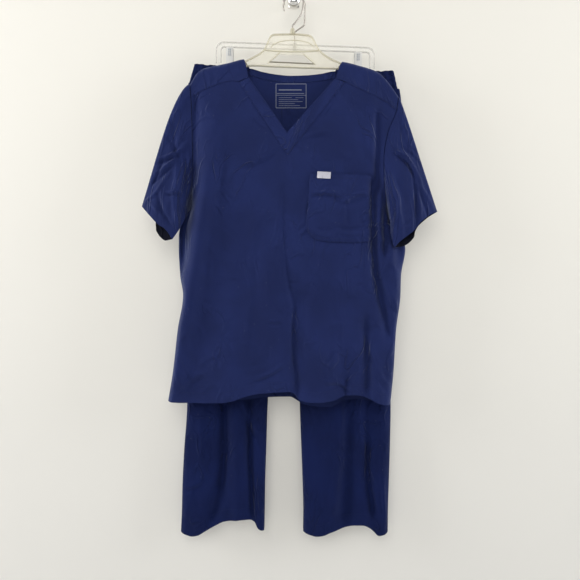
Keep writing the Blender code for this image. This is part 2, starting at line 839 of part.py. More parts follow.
TROUSER_Y = -27.0  # side seams, waist and the hanger above
CROTCH_Z = -455.0
FORK_ROLL = 55.0  # how far above the crotch the front and back start to part
INSEAM_ROOM = 1.2  # what each inseam gives the other leg, from the fork down
LEG_ROUND = 14.0
WAIST_DEEP = 42.0
WAIST_ROUND = 5.0  # half thickness of the flat waistband, to the middle of its cloth
WAIST_GATHERS = 60
GATHER_HEIGHT = 1.0
LEG_TOP_Z = -212.0  # heights where the columns are spread, under the waistband and at the hem
LEG_HEM_Z = -1248.0
LEG_COLUMNS = 9
HIP_ROWS = 5
LEG_ROWS = 13

# The waistband's top, which sags between the two clips.
WAIST_TOP = Table(
    "x     z",
    (-241, -174.0),
    (-229, -174.0),
    (-175, -177.5),
    (-147, -180.0),
    (-100, -190.5),
    (-50, -200.0),
    (-8, -205.0),
    (40, -204.0),
    (100, -196.0),
    (148, -190.0),
    (180, -190.5),
    (241, -188.5),
)
WAIST_ENDS = ((-229, -241), (231, 240))  # x of its left and right end, at its top and its bottom

LEGS = {
    "left": Table(
        "z       outer   inner",
        (-205, -240.5, -8.0),
        (-255, -249.0, -8.0),
        (-340, -256.0, -8.0),
        (-455, -256.0, -8.0),
        (-480, -255.0, -11.0),
        (-560, -250.0, -22.0),
        (-703, -246.0, -37.0),
        (-850, -244.0, -50.0),
        (-965, -245.5, -59.5),
        (-1061, -252.0, -62.5),
        (-1142, -256.0, -65.0),
        (-1206, -257.5, -66.0),
        (-1260, -260.0, -67.0),
    ),
    "right": Table(
        "z       outer   inner",
        (-205, 240.0, -8.0),
        (-266, 248.0, -8.0),
        (-340, 248.0, -8.0),
        (-455, 243.0, -8.0),
        (-480, 241.0, -5.0),
        (-560, 233.0, 1.0),
        (-640, 226.0, 4.5),
        (-793, 222.0, 9.5),
        (-965, 223.5, 13.5),
        (-1061, 221.5, 17.0),
        (-1142, 219.0, 20.0),
        (-1206, 217.0, 21.5),
        (-1260, 216.5, 20.5),
    ),
}
LEG_HEMS = {
    "left": Table(
        "x      z",
        (-261, -1248),
        (-247, -1252),
        (-231, -1256),
        (-218, -1254),
        (-204, -1246),
        (-190, -1238),
        (-175, -1230),
        (-160, -1223),
        (-123, -1218),
        (-100, -1219),
        (-89, -1223),
        (-82, -1237),
        (-75, -1243),
        (-66, -1246),
    ),
    "right": Table(
        "x      z",
        (20, -1247),
        (35, -1252),
        (52, -1256),
        (68, -1254),
        (82, -1248),
        (116, -1238),
        (141, -1232),
        (157, -1232),
        (175, -1239),
        (184, -1247),
        (194, -1255),
        (207, -1252),
        (218, -1248),
    ),
}
LEG_DEPTH = Table(
    "z      front  back",
    (-205, -34, -20),
    (-320, -37, -16),
    (-900, -39, -15),
    (-1250, -42, -14),
)
LEG_FOLDS = (
    # x0     z0     x1     z1   half  height
    (-162, -920, -166, -1170, 17, -9),
    (-128, -940, -122, -1245, 17, 6),
    (-101, -920, -94, -1210, 11, -5),
    (-216, -950, -228, -1245, 26, 4),
    (58, -920, 54, -1250, 38, 6),
    (122, -920, 112, -1240, 26, -6),
    (168, -1040, 186, -1200, 12, -6),
    (204, -960, 204, -1250, 14, 4),
)


def leg_y(side, face, x, z):
    table = LEGS[side]
    full = LEG_DEPTH.read("front" if face < 0 else "back", z)
    if face < 0:
        full -= fold_height(LEG_FOLDS, x, z)
    opened = smooth(CROTCH_Z, CROTCH_Z + FORK_ROLL, z)
    inner = opened + (1 - opened) * rounding(abs(table.read("inner", z) - x), LEG_ROUND)
    outer = rounding(abs(x - table.read("outer", z)), LEG_ROUND)
    return TROUSER_Y + face * SEAM_GAP / 2 + (full - TROUSER_Y) * inner * outer


def leg_point(side, face):
    """The placing function of one leg panel, from its outer edge to its inner one."""
    table, hem = LEGS[side], LEG_HEMS[side]
    way = 1 if side == "left" else -1

    def place(i, j):
        across = 0.5 - 0.5 * cos(pi * i / LEG_COLUMNS)
        top_x = mix(table.read("outer", LEG_TOP_Z), table.read("inner", LEG_TOP_Z), across)
        top = WAIST_TOP.read("z", top_x) - WAIST_DEEP - SEAM_GAP * 1.5
        hem_x = mix(table.read("outer", LEG_HEM_Z), table.read("inner", LEG_HEM_Z), across)
        if j <= HIP_ROWS:
            z = mix(top, CROTCH_Z, sin(pi / 2 * j / HIP_ROWS))
        else:
            z = mix(CROTCH_Z, hem.read("z", hem_x), (j - HIP_ROWS) / LEG_ROWS)
        room = SEAM_GAP / 2 + (INSEAM_ROOM if z < CROTCH_Z + FORK_ROLL else 0.0)
        x = mix(table.read("outer", z), table.read("inner", z), across)
        return Vector((x - way * across * room, leg_y(side, face, x, z), z))

    return place


def waist_point(i, j):
    """The elastic waistband: a flat loop with small gathers all round; j runs down its two rows."""
    columns = 4 * WAIST_GATHERS
    left, right = (mix(top, bottom, j / 2) for top, bottom in WAIST_ENDS)
    straight = right - left - 2 * WAIST_ROUND
    around = 2 * straight + 2 * pi * WAIST_ROUND
    went = (i % columns) / columns * around
    bump = WAIST_ROUND + GATHER_HEIGHT * cos(2 * pi * WAIST_GATHERS * i / columns)
    half_turn = pi * WAIST_ROUND
    if went < straight:
        x, y = left + WAIST_ROUND + went, -bump
    elif went < straight + half_turn:
        angle = (went - straight) / WAIST_ROUND
        x, y = right - WAIST_ROUND + bump * sin(angle), -bump * cos(angle)
    elif went < 2 * straight + half_turn:
        x, y = right - WAIST_ROUND - (went - straight - half_turn), bump
    else:
        angle = (went - 2 * straight - half_turn) / WAIST_ROUND
        x, y = left + WAIST_ROUND - bump * sin(angle), bump * cos(angle)
    return Vector((x, TROUSER_Y + y, WAIST_TOP.read("z", x) - WAIST_DEEP * j / 2))


# ---------------------------------------------------------------- hangers and hooks

TOP_HANGER_Y = -66.0
WIRE = 1.6  # radius of both hangers' hook wires
WIRE_SIDES = 8
ARM_SIDES = 12
HOOK_TOP_Z = -19.0  # top of the wires' bows, on the wall hook's arm
BOW_Z = -44.0
BOW_TURN = 205.0  # degrees of the bow, from its right side over the top to its free end

# The top hanger's moulded body from end to end: its upper and lower edge and half its thickness.
HANGER_BODY = Table(
    "x     top     bottom  half",
    (-213, -221.0, -227.0, 3.0),
    (-208, -213.0, -225.0, 4.4),
    (-197, -206.0, -221.0, 5.0),
    (-143, -191.5, -208.0, 5.0),
    (-113, -183.5, -197.0, 5.0),
    (-105, -179.0, -193.0, 4.5),
    (-92, -172.5, -192.0, 4.0),
    (-80, -166.0, -192.0, 3.5),
    (-67, -156.0, -192.5, 3.0),
    (-59, -140.0, -193.0, 2.6),
    (-52, -125.0, -193.5, 2.6),
    (-44, -121.0, -194.0, 2.6),
    (-3, -120.0, -195.5, 2.6),
    (32, -122.5, -197.0, 2.6),
    (41, -127.0, -197.0, 2.6),
    (49, -142.0, -197.5, 2.6),
    (59, -158.0, -197.5, 3.0),
    (72, -169.0, -198.0, 3.5),
    (86, -177.0, -198.5, 4.0),
    (104, -185.0, -199.0, 4.5),
    (112, -190.0, -203.0, 5.0),
    (148, -200.5, -217.0, 5.0),
    (180, -211.5, -228.0, 5.0),
    (196, -221.0, -236.0, 4.8),
    (204, -231.0, -238.0, 3.4),
)
HANGER_WINDOW = ((-37, -166), (22, -168), (44, -186), (-53, -182))
WINDOW_CUT = 9.0  # how far the window's cutter reaches each way
TOP_HOOK = (
    # x     z
    (-2.8, -119.4),
    (-2.8, -104.5),
    (-1.8, -100.5),
    (7.3, -89.7),
    (16.3, -75.8),
    (20.5, -61.7),
)
TOP_BOW = (-0.6, 22.5)  # the bow's middle in x, and its half width

CLIP_BAR = {"left": (-160, -127.0), "right": (168, -139.5), "half_tall": 6.2, "half_deep": 3.5}
CLIP_BAR_END = 13.0  # how far the bar's ends reach out past its corners, and round them
CLIP_BAR_DROP = 42.0
CLIPS = {"left": -147.0, "right": 148.0}
CLIP_WIDE = 16.0
CLIP_TALL = 58.0
JAW = 2.6
JAW_ROOM = WAIST_ROUND + GATHER_HEIGHT + CLOTH / 2 + 0.8
# A clip's section: distance out from the middle of the jaw's room, from its inner or outer face,
# and height below its top.
CLIP_SHOULDER = (4.0, 8.0)
CLIP_INSIDE = (3.0, 5.0, 10.0)
TROUSER_HOOK = (
    # x    y      z
    (2.5, -28.0, -126.2),
    (2.5, -28.0, -104.0),
    (4.0, -28.5, -98.0),
    (22.0, -30.0, -85.5),
    (24.6, -31.0, -80.0),
    (25.2, -33.5, -62.0),
)
TROUSER_BOW = (1.0, 25.0, -38.0)  # middle in x, half width, depth

PLATE = {"wide": 26.0, "tall": 60.0, "thick": 4.0, "bevel": 1.2}
ARM = {"z": -24.4, "radius": 3.5, "reach": -73.0, "bend": 9.0, "rise": 19.0, "ball": 5.25}
KNOB = {"centre": (0.0, -85.0, -55.4), "radius": 14.5}
KNOB_ARM = ((0, -2, -27.0), (0, -19, -32.0), (0, -40, -39.5), (0, -80, -53.5))
KNOB_ARM_RADIUS = 3.0


def bow(middle, half_width, y):
    """A hanger hook's bow, in points from its right side over the top to its free end."""
    steps = 14
    angles = [radians(BOW_TURN) * k / steps for k in range(steps + 1)]
    tall = HOOK_TOP_Z - BOW_Z
    return [(middle + half_width * cos(a), y, BOW_Z + tall * sin(a)) for a in angles]


def hanger_rings():
    rings = []
    for x in HANGER_BODY.at:
        top, bottom = HANGER_BODY.read("top", x), HANGER_BODY.read("bottom", x)
        half = HANGER_BODY.read("half", x)
        cut = min(half * 0.6, (top - bottom) * 0.3)
        corners = (
            (-half, bottom + cut), (-half, top - cut), (-half + cut, top), (half - cut, top),
            (half, top - cut), (half, bottom + cut), (half - cut, bottom), (-half + cut, bottom),
        )
        rings.append([Vector((x, TOP_HANGER_Y + y, z)) for y, z in corners])
    return rings


def top_hanger(finish):
    body = ring_solid("top_hanger", hanger_rings(), finish)
    through = (TOP_HANGER_Y - WINDOW_CUT, TOP_HANGER_Y + WINDOW_CUT)
    window = [[Vector((x, y, z)) for x, z in HANGER_WINDOW] for y in through]
    cutter = bpy.data.objects.new("hanger_window", ring_solid("hanger_window", window))
    bpy.context.scene.collection.objects.link(cutter)
    cutter.hide_render = True
    cutter.display_type = "WIRE"
    cut = body.modifiers.new("window", "BOOLEAN")
    cut.operation = "DIFFERENCE"
    cut.object = cutter
    return body


def clip_bar(finish):
    """The trouser hanger's bar: a flat bar with both ends turned down round a corner."""
    (x0, z0), (x1, z1) = CLIP_BAR["left"], CLIP_BAR["right"]
    tall, deep = CLIP_BAR["half_tall"], CLIP_BAR["half_deep"]
    path = [(x0 - CLIP_BAR_END, z0 - CLIP_BAR_DROP, 180.0)]
    quarter = range(0, 91, 18)
    for turned in quarter:
        turn = radians(turned)
        path.append((x0 - CLIP_BAR_END * cos(turn), z0 - CLIP_BAR_END * (1 - sin(turn)), 180 - turned))
    for turned in quarter:
        turn = radians(turned)
        path.append((x1 + CLIP_BAR_END * sin(turn), z1 - CLIP_BAR_END * (1 - cos(turn)), 90 - turned))
    path.append((x1 + CLIP_BAR_END, z1 - CLIP_BAR_DROP, 0.0))
    rings = []
    for x, z, facing in path:
        out = Vector((cos(radians(facing)), 0, sin(radians(facing))))
        middle = Vector((x, TROUSER_Y, z))
        back = Vector((0, deep, 0))
        corners = (out * tall - back, out * tall + back, out * -tall + back, out * -tall - back)
        rings.append([middle + corner for corner in corners])
    return ring_solid("trouser_hanger", rings, finish)


def clip(side, finish):
    """One clip: two jaws joined over the waistband's edge, as a bent strip."""
    middle = CLIPS[side]
    (x0, z0), (x1, z1) = CLIP_BAR["left"], CLIP_BAR["right"]
    top = mix(z0, z1, (middle - x0) / (x1 - x0)) - CLIP_BAR["half_tall"] - 1.0
    outer = JAW_ROOM + JAW
    shoulder_in, shoulder = CLIP_SHOULDER
    roof_in, roof, spring = CLIP_INSIDE
    half = (
        (outer - shoulder_in, 0), (outer, -shoulder), (outer, -CLIP_TALL),
        (JAW_ROOM, -CLIP_TALL), (JAW_ROOM, -spring), (JAW_ROOM - roof_in, -roof),
    )
    outline = half + tuple((-y, z) for y, z in reversed(half))
    ends = (middle - CLIP_WIDE / 2, middle + CLIP_WIDE / 2)
    rings = [[Vector((x, TROUSER_Y + y, top + z)) for y, z in outline] for x in ends]
    return ring_solid(f"clip_{side}", rings, finish)


def box_mesh(name, low, high, bevel):
    shape = bmesh.new()
    bmesh.ops.create_cube(shape, size=1.0)
    low, high = Vector(low) * MM, Vector(high) * MM
    size = high - low
    bmesh.ops.transform(shape, matrix=Matrix.Diagonal((*size, 1.0)), verts=shape.verts)
    bmesh.ops.translate(shape, vec=(low + high) / 2, verts=shape.verts)
    front = [edge for edge in shape.edges if all(vert.co.y < low.y + size.y / 2 for vert in edge.verts)]
    bmesh.ops.bevel(shape, geom=front, offset=bevel * MM, segments=2, profile=0.5, affect="EDGES")
    mesh = bpy.data.meshes.new(name)
    shape.to_mesh(mesh)
    shape.free()
    return mesh


def ball_mesh(name, centre, radius):
    shape = bmesh.new()
    bmesh.ops.create_uvsphere(shape, u_segments=20, v_segments=12, radius=radius * MM)
    bmesh.ops.rotate(shape, verts=shape.verts, matrix=Matrix.Rotation(pi / 2, 3, "X"))
    bmesh.ops.translate(shape, vec=Vector(centre) * MM, verts=shape.verts)
    mesh = bpy.data.meshes.new(name)
    shape.to_mesh(mesh)
    shape.free()
    return mesh


def wall_hook(finish):
    half_wide, half_tall, thick = PLATE["wide"] / 2, PLATE["tall"] / 2, PLATE["thick"]
    z, reach, bend = ARM["z"], ARM["reach"], ARM["bend"]
    tip = (0, reach - bend, z + ARM["rise"])
    arm = [(0, -thick / 2, z), (0, reach, z)]
    for turn in (radians(30), radians(60), radians(90)):
        arm.append((0, reach - bend * sin(turn), z + bend * (1 - cos(turn))))
    arm.append(tip)
    pieces = (
        box_mesh("plate", (-half_wide, -thick, -half_tall), (half_wide, 0, half_tall), PLATE["bevel"]),
        tube("arm", arm, ARM["radius"], ARM_SIDES),
        ball_mesh("arm_end", tip, ARM["ball"]),
        tube("knob_arm", KNOB_ARM, KNOB_ARM_RADIUS, ARM_SIDES),
        ball_mesh("knob", KNOB["centre"], KNOB["radius"]),
    )
    return join_solid("wall_hook", pieces, finish)


# ---------------------------------------------------------------- build

for old in list(bpy.data.objects):
    bpy.data.objects.remove(old, do_unlink=True)

navy = material("navy_twill", (0.016, 0.022, 0.085), 0.75)
woven = material("grey_woven_label", (0.55, 0.54, 0.60), 0.7)
frosted = material("frosted_plastic", (0.80, 0.76, 0.58), 0.35, alpha=0.6)
clear = material("clear_plastic", (0.85, 0.86, 0.84), 0.15, alpha=0.4)
grey = material("clip_plastic", (0.62, 0.64, 0.64), 0.35)
steel = material("hook_wire", (0.62, 0.60, 0.57), 0.3, 1.0)
chrome = material("chrome", (0.75, 0.74, 0.73), 0.12, 1.0)

FRONT_SIZE = (2 * (SIDE_COLUMNS + NECK_COLUMNS), ARMHOLE_ROWS + SKIRT_ROWS)
BACK_SIZE = (2 * (SIDE_COLUMNS + 1 + NECK_COLUMNS), ARMHOLE_ROWS + SKIRT_ROWS + TURN_ROWS + YOKE_ROWS)
cloth_wall("top_front", front_point, *FRONT_SIZE, navy)
cloth_wall("top_back", back_grid_point, *BACK_SIZE, navy, back_present)
sleeve_wall("sleeve_left", -1, navy)
sleeve_wall("sleeve_right", 1, navy)
cloth_wall("neck_band", band_point, 2 * NECK_COLUMNS, 2, navy)
cloth_wall("back_neck_binding", binding_point, 2 * NECK_COLUMNS, 1, navy, thickness=BINDING_THICK)
cloth_wall("chest_pocket", pocket_point, POCKET_COLUMNS, POCKET_ROWS, navy, thickness=POCKET_THICK)
cloth_wall("pocket_label", label_point, 2, 2, woven, thickness=LABEL_THICK)
for side in LEGS:
    for part, face in (("front", -1), ("back", 1)):
        cloth_wall(f"trouser_{part}_{side}", leg_point(side, face), LEG_COLUMNS, HIP_ROWS + LEG_ROWS, navy)
cloth_wall("waistband", waist_point, 4 * WAIST_GATHERS, 2, navy, closed=True)
top_hanger(frosted)
clip_bar(clear)
clip("left", grey)
clip("right", grey)
top_hook = [(x, TOP_HANGER_Y, z) for x, z in TOP_HOOK]
tube("top_hanger_hook", top_hook + bow(*TOP_BOW, TOP_HANGER_Y), WIRE, WIRE_SIDES, steel)
tube("trouser_hanger_hook", list(TROUSER_HOOK) + bow(*TROUSER_BOW), WIRE, WIRE_SIDES, steel)
wall_hook(chrome)
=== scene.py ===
import bpy
import numpy as np
from mathutils import Matrix, Vector


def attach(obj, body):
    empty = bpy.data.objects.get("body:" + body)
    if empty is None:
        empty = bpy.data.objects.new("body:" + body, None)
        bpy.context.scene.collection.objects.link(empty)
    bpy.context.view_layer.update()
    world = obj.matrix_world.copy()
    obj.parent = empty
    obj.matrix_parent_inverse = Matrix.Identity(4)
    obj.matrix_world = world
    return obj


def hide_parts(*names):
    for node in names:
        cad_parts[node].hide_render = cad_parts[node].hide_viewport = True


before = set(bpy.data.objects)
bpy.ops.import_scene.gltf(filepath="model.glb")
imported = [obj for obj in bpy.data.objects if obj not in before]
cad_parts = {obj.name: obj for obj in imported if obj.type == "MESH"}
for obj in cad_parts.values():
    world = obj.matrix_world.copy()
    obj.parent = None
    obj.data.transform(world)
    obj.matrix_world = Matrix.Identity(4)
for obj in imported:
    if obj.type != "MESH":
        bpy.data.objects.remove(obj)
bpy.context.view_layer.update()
bpy.ops.object.select_all(action="DESELECT")

# The set hangs on a wall, y = 0, with its front towards -y. Sizes are in millimetres until a mesh
# is made, and left and right are as seen from the front.


# ---------------------------------------------------------------- top: front panel
# One panel of navy stretch twill, cut with a deep V and forward shoulders. It hangs from the
# hanger's arms, rolls round to the side seams and ends in a 24 mm turned-up hem.

MM = 0.001
CLOTH = 1.0
SEAM_GAP = 0.4
SHOULDER_Y = -66.0
CREST_ROUND = 14.0
SIDE_ROUND = 16.0
LEAST_REACH = 4.0  # how near a fold may bring a layer to the depth of the side seams
SHOULDER_REACH = (-420.0, -260.0)
UNDERARM_LEFT, UNDERARM_RIGHT = -515.0, -535.0
ARMHOLE_ROLL = 50.0
SIDE_COLUMNS, NECK_COLUMNS = 7, 5
ARMHOLE_ROWS, SKIRT_ROWS = 7, 11
TOP_HEM = 24.0
HEM_STEP = 1.2  # a hem's upper edge rises over twice this
HEM_STITCH = 1.5  # its stitches lie this far inside that edge
FIRST_ROW, SECOND_ROW = 2.0, 8.0  # the two rows of stitches beside a seam
CREASE_TAPER, SMALL_TAPER = 0.3, 0.4
FRONT_COLUMNS = 2 * (SIDE_COLUMNS + NECK_COLUMNS)


class Table:
    """Rows under named columns, read as a smooth curve against the first column."""

    def __init__(self, columns, *rows):
        ordered = np.array(sorted(rows), float)
        self.at = ordered[:, 0]
        self.columns = dict(zip(columns.split(), ordered.T))

    def read(self, column, where):
        at, values = self.at, self.columns[column]
        where = np.clip(where, at[0], at[-1])
        k = np.clip(np.searchsorted(at, where, side="right") - 1, 0, len(at) - 2)
        span = at[k + 1] - at[k]
        share = (where - at[k]) / span
        slope = self.slopes(values)
        eased = share * share * (3 - 2 * share)
        start = share * (1 - share) ** 2 * span * slope[k]
        end = share * share * (1 - share) * span * slope[k + 1]
        return values[k] + (values[k + 1] - values[k]) * eased + start - end

    def slopes(self, values):
        """Each row's slope: none at a peak or a dip, so that the curve never overshoots."""
        rise = np.diff(values) / np.diff(self.at)
        before, after = rise[:-1], rise[1:]
        total = np.where(before * after > 0, before + after, 1.0)
        inner = np.where(before * after > 0, 2 * before * after / total, 0.0)
        return np.concatenate([rise[:1], inner, rise[-1:]])


def mix(start, end, share):
    return start + (end - start) * share


def ease(start, end, where):
    share = np.clip((where - start) / (end - start), 0, 1)
    return share * share * (3 - 2 * share)


def rounding(distance, radius):
    """A quarter circle: 0 on a rolled edge, 1 from a radius inside it."""
    share = np.clip(distance / radius, 0, 1)
    return np.sqrt(share * (2 - share))


def uneven(along, seed):
    """A wandering line between about -1 and 1, for what no two stretches of cloth do alike."""
    waves = ((1.0, 1.0, 1.0), (2.27, 1.7, 0.7), (3.91, 2.9, 0.5))  # how often, where from, how high
    return sum(high * np.sin(often * along + start * seed) for often, start, high in waves) / 2.2


def hem_step(deep, up):
    """0 above a turned-up hem and 1 on it, up being the height above its folded edge."""
    return ease(deep + HEM_STEP, deep - HEM_STEP, up)


def hem_pucker(along, seed, deep, up):
    """The waviness that a hem's stitches draw into the cloth beside them."""
    return uneven(along, seed) * np.exp(-np.abs(up - deep) / 9.0)


def folds(rows, x, z, taper=None):
    """What soft folds add at each point: a ridge (+) or a trough (-) along each row's line.

    bend bows the line sideways, and lean makes one flank steeper. taper is the share of a fold's
    length over which each end fades, or, where it is None, each end fades over twice its width.
    """
    total = np.zeros_like(x)
    for x0, z0, x1, z1, half, height, *shape in rows:
        bend, lean = (*shape, 0, 0)[:2]
        run = np.hypot(x1 - x0, z1 - z0)
        along = ((x - x0) * (x1 - x0) + (z - z0) * (z1 - z0)) / run
        aside = ((x - x0) * (z1 - z0) - (z - z0) * (x1 - x0)) / run
        went = np.clip(along / run, 0, 1)
        aside = aside - bend * 4 * went * (1 - went)
        end = 2 * half if taper is None else run * taper
        fade = ease(-end, end, along) * ease(-end, end, run - along)
        width = half * np.where(aside < 0, 1 - lean, 1 + lean)
        total += height * fade * np.exp(-((aside / width) ** 2))
    return total


def small_creases(seed, count, low, high, angle, spread):
    """Rows of short shallow creases over a stretch of cloth, as lying folded in a drawer leaves."""
    rng = np.random.default_rng(seed)
    rows = []
    for _ in range(count):
        x, z = rng.uniform(low[0], high[0]), rng.uniform(low[1], high[1])
        turn = np.radians(rng.normal(angle, spread))
        run = rng.uniform(18, 62)
        height = rng.uniform(0.5, 1.5) * rng.choice((-1, 1))
        half = rng.uniform(3.5, 8.0)
        end = (x + run * np.cos(turn), z + run * np.sin(turn))
        rows.append((x, z, *end, half, height, rng.normal(0, 3), rng.uniform(-0.35, 0.35)))
    return rows


def grid_normals(grid, loop=False):
    """The direction across x down at each point of a grid of rows and columns."""
    if loop:
        wide = np.concatenate([grid[:, -1:], grid, grid[:, :1]], axis=1)
        across = wide[:, 2:] - wide[:, :-2]
    else:
        across = np.gradient(grid, axis=1)
    normal = np.cross(across, np.gradient(grid, axis=0))
    return normal / np.maximum(np.linalg.norm(normal, axis=2, keepdims=True), 1e-9)


def cloth_lengths(grid, anchor):
    """Each grid point's place on the flat cloth, in metres, from the anchor's row and column."""
    across = np.linalg.norm(np.diff(grid, axis=1), axis=2)
    down = np.linalg.norm(np.diff(grid, axis=0), axis=2)
    u = np.concatenate([np.zeros((len(grid), 1)), np.cumsum(across, axis=1)], axis=1)
    v = np.concatenate([np.zeros((1, grid.shape[1])), np.cumsum(down, axis=0)], axis=0)
    u = u - u[:, anchor[1]:anchor[1] + 1]
    v = v[anchor[0]:anchor[0] + 1] - v
    return np.stack([u, v], axis=2) * MM


def object_of(name, points, faces, finish, sharp=50, corner_uv=None):
    """A finished mesh object from points in millimetres, smooth but for its sharp edges."""
    mesh = bpy.data.meshes.new(name)
    mesh.from_pydata((np.asarray(points) * MM).tolist(), [], np.asarray(faces).tolist())
    if corner_uv is not None:
        layer = mesh.uv_layers.new(name="cloth")
        layer.data.foreach_set("uv", np.asarray(corner_uv, np.float32).ravel())
    mesh.shade_smooth()
    mesh.set_sharp_from_angle(angle=np.radians(sharp))
    mesh.materials.append(finish)
    made = bpy.data.objects.new(name, mesh)
    bpy.context.scene.collection.objects.link(made)
    return made


def cloth_shell(
    name, middle, outward, finish, keep=None, loop=False, thick=CLOTH, anchor=(0, 0), inside=None,
):
    """A thin closed shell on both sides of a grid of points, with a rim at its free edges.

    outward is 1 where across x down points out of the garment, and -1 where it points in. keep
    marks the cells that are cloth, loop joins the last column to the first, and inside is the
    finish of the cloth's inner face.
    """
    rows, columns = middle.shape[:2]
    normal = outward * grid_normals(middle, loop)
    outer = (middle + normal * CLOTH / 2).reshape(-1, 3)
    inner = (middle - normal * (np.asarray(thick)[..., None] - CLOTH / 2)).reshape(-1, 3)
    closed = np.concatenate([middle, middle[:, :1]], axis=1) if loop else middle
    flat = cloth_lengths(closed, anchor)
    r, c = np.mgrid[0:rows - 1, 0:columns if loop else columns - 1]
    if keep is not None:
        r, c = r[keep], c[keep]
    r, c = r.ravel(), c.ravel()
    around = ((0, 0), (0, 1), (1, 1), (1, 0)) if outward > 0 else ((0, 0), (1, 0), (1, 1), (0, 1))
    face = np.stack([(r + dr) * columns + (c + dc) % columns for dr, dc in around], axis=1)
    face_uv = np.stack([flat[r + dr, c + dc] for dr, dc in around], axis=1)
    count = rows * columns
    start, end = face.ravel(), np.roll(face, -1, axis=1).ravel()
    free = ~np.isin(end * count + start, start * count + end)
    start_uv, end_uv = face_uv.reshape(-1, 2), np.roll(face_uv, -1, axis=1).reshape(-1, 2)
    rim = np.stack([end, start, start + count, end + count], axis=1)[free]
    rim_uv = np.stack([end_uv, start_uv, start_uv, end_uv], axis=1)[free]
    faces = np.concatenate([face, face[:, ::-1] + count, rim])
    corner_uv = np.concatenate([face_uv, face_uv[:, ::-1], rim_uv])
    used, faces = np.unique(faces, return_inverse=True)
    points = np.concatenate([outer, inner])[used]
    made = object_of(name, points, faces.reshape(-1, 4), finish, corner_uv=corner_uv)
    if inside is not None:
        made.data.materials.append(inside)
        on_inside = np.zeros(len(made.data.polygons), np.int32)
        on_inside[len(face):2 * len(face)] = 1
        made.data.polygons.foreach_set("material_index", on_inside)
    return made


def at_rows(grid, rows):
    """Points of a grid where each column meets its own fractional row."""
    low = np.clip(np.floor(rows).astype(int), 0, len(grid) - 2)
    share = (rows - low)[:, None]
    column = np.arange(grid.shape[1])
    return grid[low, column] * (1 - share) + grid[low + 1, column] * share


def rows_in(grid, distance, from_top=False):
    """The fractional row of each column that lies a distance in from the last row, or the first."""
    ordered = grid if from_top else grid[::-1]
    steps = np.linalg.norm(np.diff(ordered, axis=0), axis=2)
    went = np.concatenate([np.zeros((1, grid.shape[1])), np.cumsum(steps, axis=0)], axis=0)
    found = np.array([np.interp(distance, went[:, c], np.arange(len(grid))) for c in range(grid.shape[1])])
    return found if from_top else len(grid) - 1 - found


def seam_line(grid, outward, distance, edge, loop=False):
    """A line on the cloth's outer face, a distance in from one of its edges: its points and normals."""
    normal = outward * grid_normals(grid, loop)
    if edge in ("left", "right"):
        grid, normal = grid.transpose(1, 0, 2), normal.transpose(1, 0, 2)
    rows = rows_in(grid, distance, from_top=edge in ("top", "left"))
    points, facing = at_rows(grid, rows), at_rows(normal, rows)
    return points + facing * CLOTH / 2, facing


def along_line(went, line, at):
    """Points of a line at lengths along it, went being each of its own points' length."""
    return np.stack([np.interp(at, went, line[:, k]) for k in range(3)], axis=1)


STITCH = {"long": 2.7, "gap": 0.8, "wide": 0.55}


def sew(name, lines, finish):
    """Rows of thread along lines of (points, normals), each stitch a small spindle."""
    points, faces = [], []
    long, wide = STITCH["long"], STITCH["wide"]
    ring = np.array([(-0.5, 0.0), (0.0, 0.75), (0.5, 0.0), (0.0, -0.6)])
    for path, normal in lines:
        went = np.concatenate([[0.0], np.cumsum(np.linalg.norm(np.diff(path, axis=0), axis=1))])
        count = max(int(went[-1] // (long + STITCH["gap"])), 1)
        first = (np.arange(count) + 0.5) * went[-1] / count - long / 2
        for share, scale in ((0.0, 0.35), (0.5, 1.0), (1.0, 0.35)):
            at = first + long * share
            middle, up = along_line(went, path, at), along_line(went, normal, at)
            side = np.cross(up, along_line(went, path, at + 1.0) - along_line(went, path, at - 1.0))
            side /= np.maximum(np.linalg.norm(side, axis=1, keepdims=True), 1e-9)
            for across, rise in ring * wide * scale:
                points.append(middle + side * across + up * (rise - 0.2 * wide * (1 - scale)))
        base = sum(len(block) for block in points[:-12])
        spot = base + np.arange(count)
        pairs = ((0, 1), (1, 2), (2, 3), (3, 0), (4, 5), (5, 6), (6, 7), (7, 4))
        sides = [(k, after, after + 4, k + 4) for k, after in pairs]
        for corners in (*sides, (3, 2, 1, 0), (8, 9, 10, 11)):
            faces.append(np.stack([spot + corner * count for corner in corners], axis=1))
    made = object_of(name, np.concatenate(points), np.concatenate(faces), finish, sharp=80)
    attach(made, "root")
    return made


SIDES = Table(
    "z      left    right   seam",
    (-515, -232.0, 208.0, -59),
    (-535, -247.0, 213.5, -59),
    (-543, -252.0, 212.5, -59),
    (-554, -256.0, 225.0, -58),
    (-575, -258.5, 244.0, -57),
    (-602, -258.5, 251.0, -57),
    (-663, -255.0, 241.0, -58),
    (-706, -248.0, 239.5, -59),
    (-784, -259.5, 229.5, -60),
    (-878, -270.0, 223.5, -61),
    (-960, -284.0, 215.0, -61),
)
ARMHOLE_LEFT = Table(
    "z      front   back",
    (-240, -230.0, -229.0),
    (-265, -228.0, -228.0),
    (-310, -226.5, -229.0),
    (-350, -225.5, -231.0),
    (-410, -224.5, -232.0),
    (-465, -226.0, -232.0),
    (-515, -232.0, -232.0),
)
ARMHOLE_RIGHT = Table(
    "z      front   back",
    (-263, 233.0, 233.0),
    (-295, 227.0, 230.0),
    (-348, 207.0, 222.0),
    (-400, 199.0, 216.0),
    (-450, 199.5, 212.0),
    (-500, 205.0, 211.0),
    (-535, 213.5, 213.5),
)
CREST = Table(
    "x      z",
    (-242, -250),
    (-232, -237),
    (-221, -217),
    (-209, -203),
    (-198, -198),
    (-176, -193),
    (-142, -185.5),
    (-113, -178),
    (0, -172),
    (112, -184),
    (148, -193),
    (177, -202),
    (193, -211),
    (204, -222),
    (215, -236),
    (233, -263),
    (242, -280),
)
